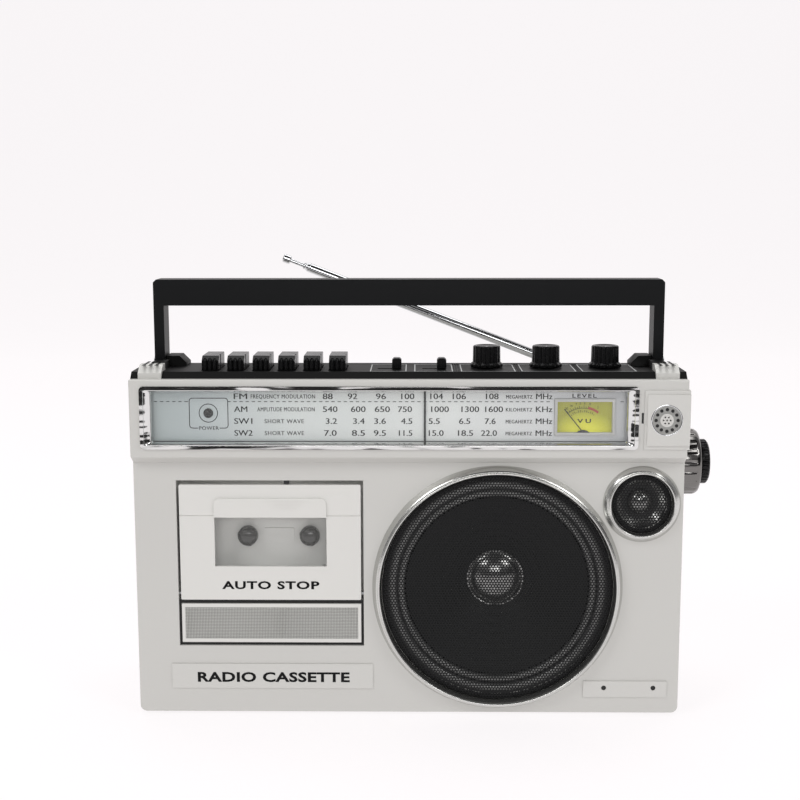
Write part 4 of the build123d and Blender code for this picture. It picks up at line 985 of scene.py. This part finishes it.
def woofer():
    low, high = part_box("woofer_cone")
    x, z = (low[0] + high[0]) / 2, (low[2] + high[2]) / 2
    speakerFront("woofer", (x, z), 78.0, ringProfile(84.5, 79.4, 78.2, 7.0), 2.0, 0.74, 1.2, 3.7)
    y = frontFace
    # cone flaring from the voice coil, with pressed rings, and the domed dust cap
    r = np.linspace(16.5, 57, 40)
    depth = 28.2 - 22.7 * ((r - 16.5) / 45.5) ** 0.85 + 0.18 * np.sin(r * 1.1)
    cone = [(14.6, 44), (15.0, 44), (15.0, 30)] + list(zip(r, depth)) + [(59.5, 6.3), (61.6, 4.9),
            (62.0, 5.4)]
    cone += list(zip(r[::-1], depth[::-1] + 0.6)) + [(14.6, 30.6), (14.6, 44)]
    latheIt("woofer_paper_cone", cone, (x, y, z), (0, 1, 0), dopedPaper, "cone", ("woofer_cone",), "paper",
            128)
    cap = [(0, 19.5)] + [(20.0 * math.sin(a), 19.5 + 14.5 * (1 - math.cos(a)))
            for a in np.radians(np.linspace(6, 57, 12))]
    cap += [(18.4, 26.9), (18.9, 27.0), (19.4, 26.6)]
    latheIt("woofer_dust_cap", cap, (x, y, z), (0, 1, 0), capGloss, "cone", slotName="paper", segments=96)
    bead = arcProfile((19.2, 26.2), 0.75, -180, 180, 10)
    latheIt("woofer_cap_bead", bead, (x, y, z), (0, 1, 0), capGloss, "cone", slotName="paper", segments=96)
    roll = ([(62.7, 5.2)] + arcProfile((65.2, 4.6), 2.2, 180, 360,
            12) + [(67.9, 5.4)] + arcProfile((71.2, 4.4), 2.9, 180, 360, 14)
            + [(74.6, 4.8), (74.6, 5.6), (62.7, 6.0), (62.7, 5.2)])
    latheIt("woofer_surround", roll, (x, y, z), (0, 1, 0), glossRubber, cabinet, slotName="rubber",
            segments=144)


def tweeter():
    x, z = 156.2 * mm, up(146.0)
    speakerFront("tweeter", (x, z), 20.0, ringProfile(26.0, 20.9, 20.2, 5.0), 2.0, 0.74, 1.0, 3.2)
    dome = [(0, 3.2)] + [(9 * math.sin(a), 3.2 + 7 * (1 - math.cos(a)))
            for a in np.radians(np.linspace(8, 80, 9))]
    dome += [(10.5, 9.4), (16.5, 4.0), (16.9, 4.6), (9, 11), (0, 11)]
    latheIt("tweeter_cone", dome, (x, frontFace, z), (0, 1, 0), capGloss, cabinet, slotName="paper",
            segments=72)


# foil-faced card of the dust cap and tweeter dome: a bright mirror that reads mid grey through the sheet
capGloss = grained("metallisedCard", "#B9B9B7", 0.95, 0.2, 4.0, 0.03, "#202021", roughBy=0.05)
woofer()
tweeter()
print("loudspeakers made")


def plateLettering():
    badge = letters("RADIO CASSETTE", -92.0, 21.6, 6.8, 104.0, "CENTER", bold=0.034, spacing=1.05)
    printed("badge_lettering", [badge], blackInk, cabinet, onFront(frontFace - 0.82 * mm), "aluminium")
    dots = [disc(x, 17.75, 1.6, 20) for x in (133.3, 166.9)]
    printed("corner_plate_dots", dots, mattBlack, cabinet, onFront(frontFace - 0.3 * mm), "matte_black")


plateLettering()


def studio():
    setup = {"lens": 60.04, "sensor": 36.0, "pitch": 8.526, "yaw": -0.749, "roll": -0.083,
             "place": (6.05, -873.8, 347.3)}  # mm from the middle of the lower front edge
    camera = bpy.data.objects.new("camera", bpy.data.cameras.new("camera"))
    bpy.context.scene.collection.objects.link(camera)
    camera.data.lens, camera.data.sensor_width = setup["lens"], setup["sensor"]
    p, w, r = (math.radians(setup[k]) for k in ("pitch", "yaw", "roll"))
    ahead = Vector((math.sin(w) * math.cos(p), math.cos(w) * math.cos(p), -math.sin(p)))
    right = Vector((math.cos(w), -math.sin(w), 0))
    above = right.cross(ahead)
    right, above = right * math.cos(r) + above * math.sin(r), above * math.cos(r) - right * math.sin(r)
    turn = Matrix((right, above, -ahead)).transposed().to_4x4()
    x, y, z = setup["place"]
    camera.matrix_world = Matrix.Translation((x * mm, frontFace + y * mm, up(z))) @ turn
    bpy.context.scene.camera = camera

    # floor that curves up into a wall behind
    u = np.linspace(-6, 6, 25)
    a = np.linspace(0, math.pi / 2, 16)
    back = np.concatenate([[-5.0, -1.0], 2.0 + 1.5 * np.sin(a), [3.5]])
    rise = np.concatenate([[0.0, 0.0], 1.5 * (1 - np.cos(a)), [6.0]])
    points = np.stack([np.repeat(u[:, None], len(back), 1), np.repeat(back[None], len(u), 0),
                       np.repeat(rise[None], len(u), 0)], -1)
    mesh = bpy.data.meshes.new("sweep")
    mesh.from_pydata(points.reshape(-1, 3).tolist(), [], gridFaces(len(u), len(back)).tolist())
    mesh.polygons.foreach_set("use_smooth", [True] * len(mesh.polygons))
    mesh.materials.append(newMaterial("palePaperSweep", "#787677", 0.0, 0.9,
            Emission_Color=toLinear("#FBF8F9"),
                                      Emission_Strength=0.845))
    sweep = bpy.data.objects.new("sweep", mesh)
    bpy.context.scene.collection.objects.link(sweep)

    def softbox(name, place, aim, width, height, watts):
        lamp = bpy.data.lights.new(name, "AREA")
        lamp.shape, lamp.size, lamp.size_y, lamp.energy = "RECTANGLE", width, height, watts
        holder = bpy.data.objects.new(name, lamp)
        holder.location = place
        holder.rotation_euler = (Vector(aim) - Vector(place)).to_track_quat("-Z", "Y").to_euler()
        bpy.context.scene.collection.objects.link(holder)

    softbox("keyBox", (-1.5, -1.4, 1.9), (0, 0, 0.12), 1.1, 0.9, 19.5)
    softbox("fillBox", (1.6, -1.4, 1.7), (0, 0, 0.12), 1.0, 0.9, 14.8)
    softbox("topBox", (0.0, 0.3, 2.3), (0, 0.1, 0.1), 2.0, 1.2, 17.5)
    softbox("frontBox", (0.1, -3.2, 1.2), (0, 0, 0.15), 1.6, 0.9, 19.5)

    def darkCard(name, place, aim, width, height):
        # seen in bright parts only: gives them the black streaks of a dim room between the lamps
        card = bpy.data.meshes.new(name)
        w, h = width / 2, height / 2
        card.from_pydata([(-w, -h, 0), (w, -h, 0), (w, h, 0), (-w, h, 0)], [], [(0, 1, 2, 3)])
        card.materials.append(newMaterial("blackVelvet", "#050505", 0.0, 0.95))
        holder = bpy.data.objects.new(name, card)
        holder.location = place
        holder.rotation_euler = (Vector(aim) - Vector(place)).to_track_quat("-Z", "Y").to_euler()
        holder.visible_camera = holder.visible_diffuse = holder.visible_shadow = False
        holder.visible_transmission = False
        bpy.context.scene.collection.objects.link(holder)

    darkCard("lowCard", (0, -1.3, 0.02), (0, 0, 0.1), 2.6, 0.34)
    darkCard("highCard", (0, -2.2, 2.2), (0, 0, 0.2), 1.2, 0.5)
    darkCard("overCard", (0, -0.5, 1.6), (0, 0, 0.2), 2.4, 1.1)
    darkCard("rightCard", (1.5, -1.0, 0.35), (0, 0, 0.2), 1.1, 0.7)
    darkCard("farCard", (0, -3.6, 0.6), (0, 0, 0.15), 5.0, 0.5)
    world = bpy.data.worlds.new("paleRoom")
    bpy.context.scene.world = world
    world.use_nodes = True
    # seen directly the room is about three times as bright as the light it gives the object
    tree = world.node_tree
    tree.nodes["Background"].inputs["Color"].default_value = toLinear("#F6F5F6")
    path = addNode(tree, "LightPath")
    strength = addNode(tree, "MapRange", {3: 0.30, 4: 0.96}, {0: (path, "Is Camera Ray")})
    tree.links.new(strength.outputs[0], tree.nodes["Background"].inputs["Strength"])
    bpy.context.scene.view_settings.view_transform = "Standard"


studio()
print("studio made")
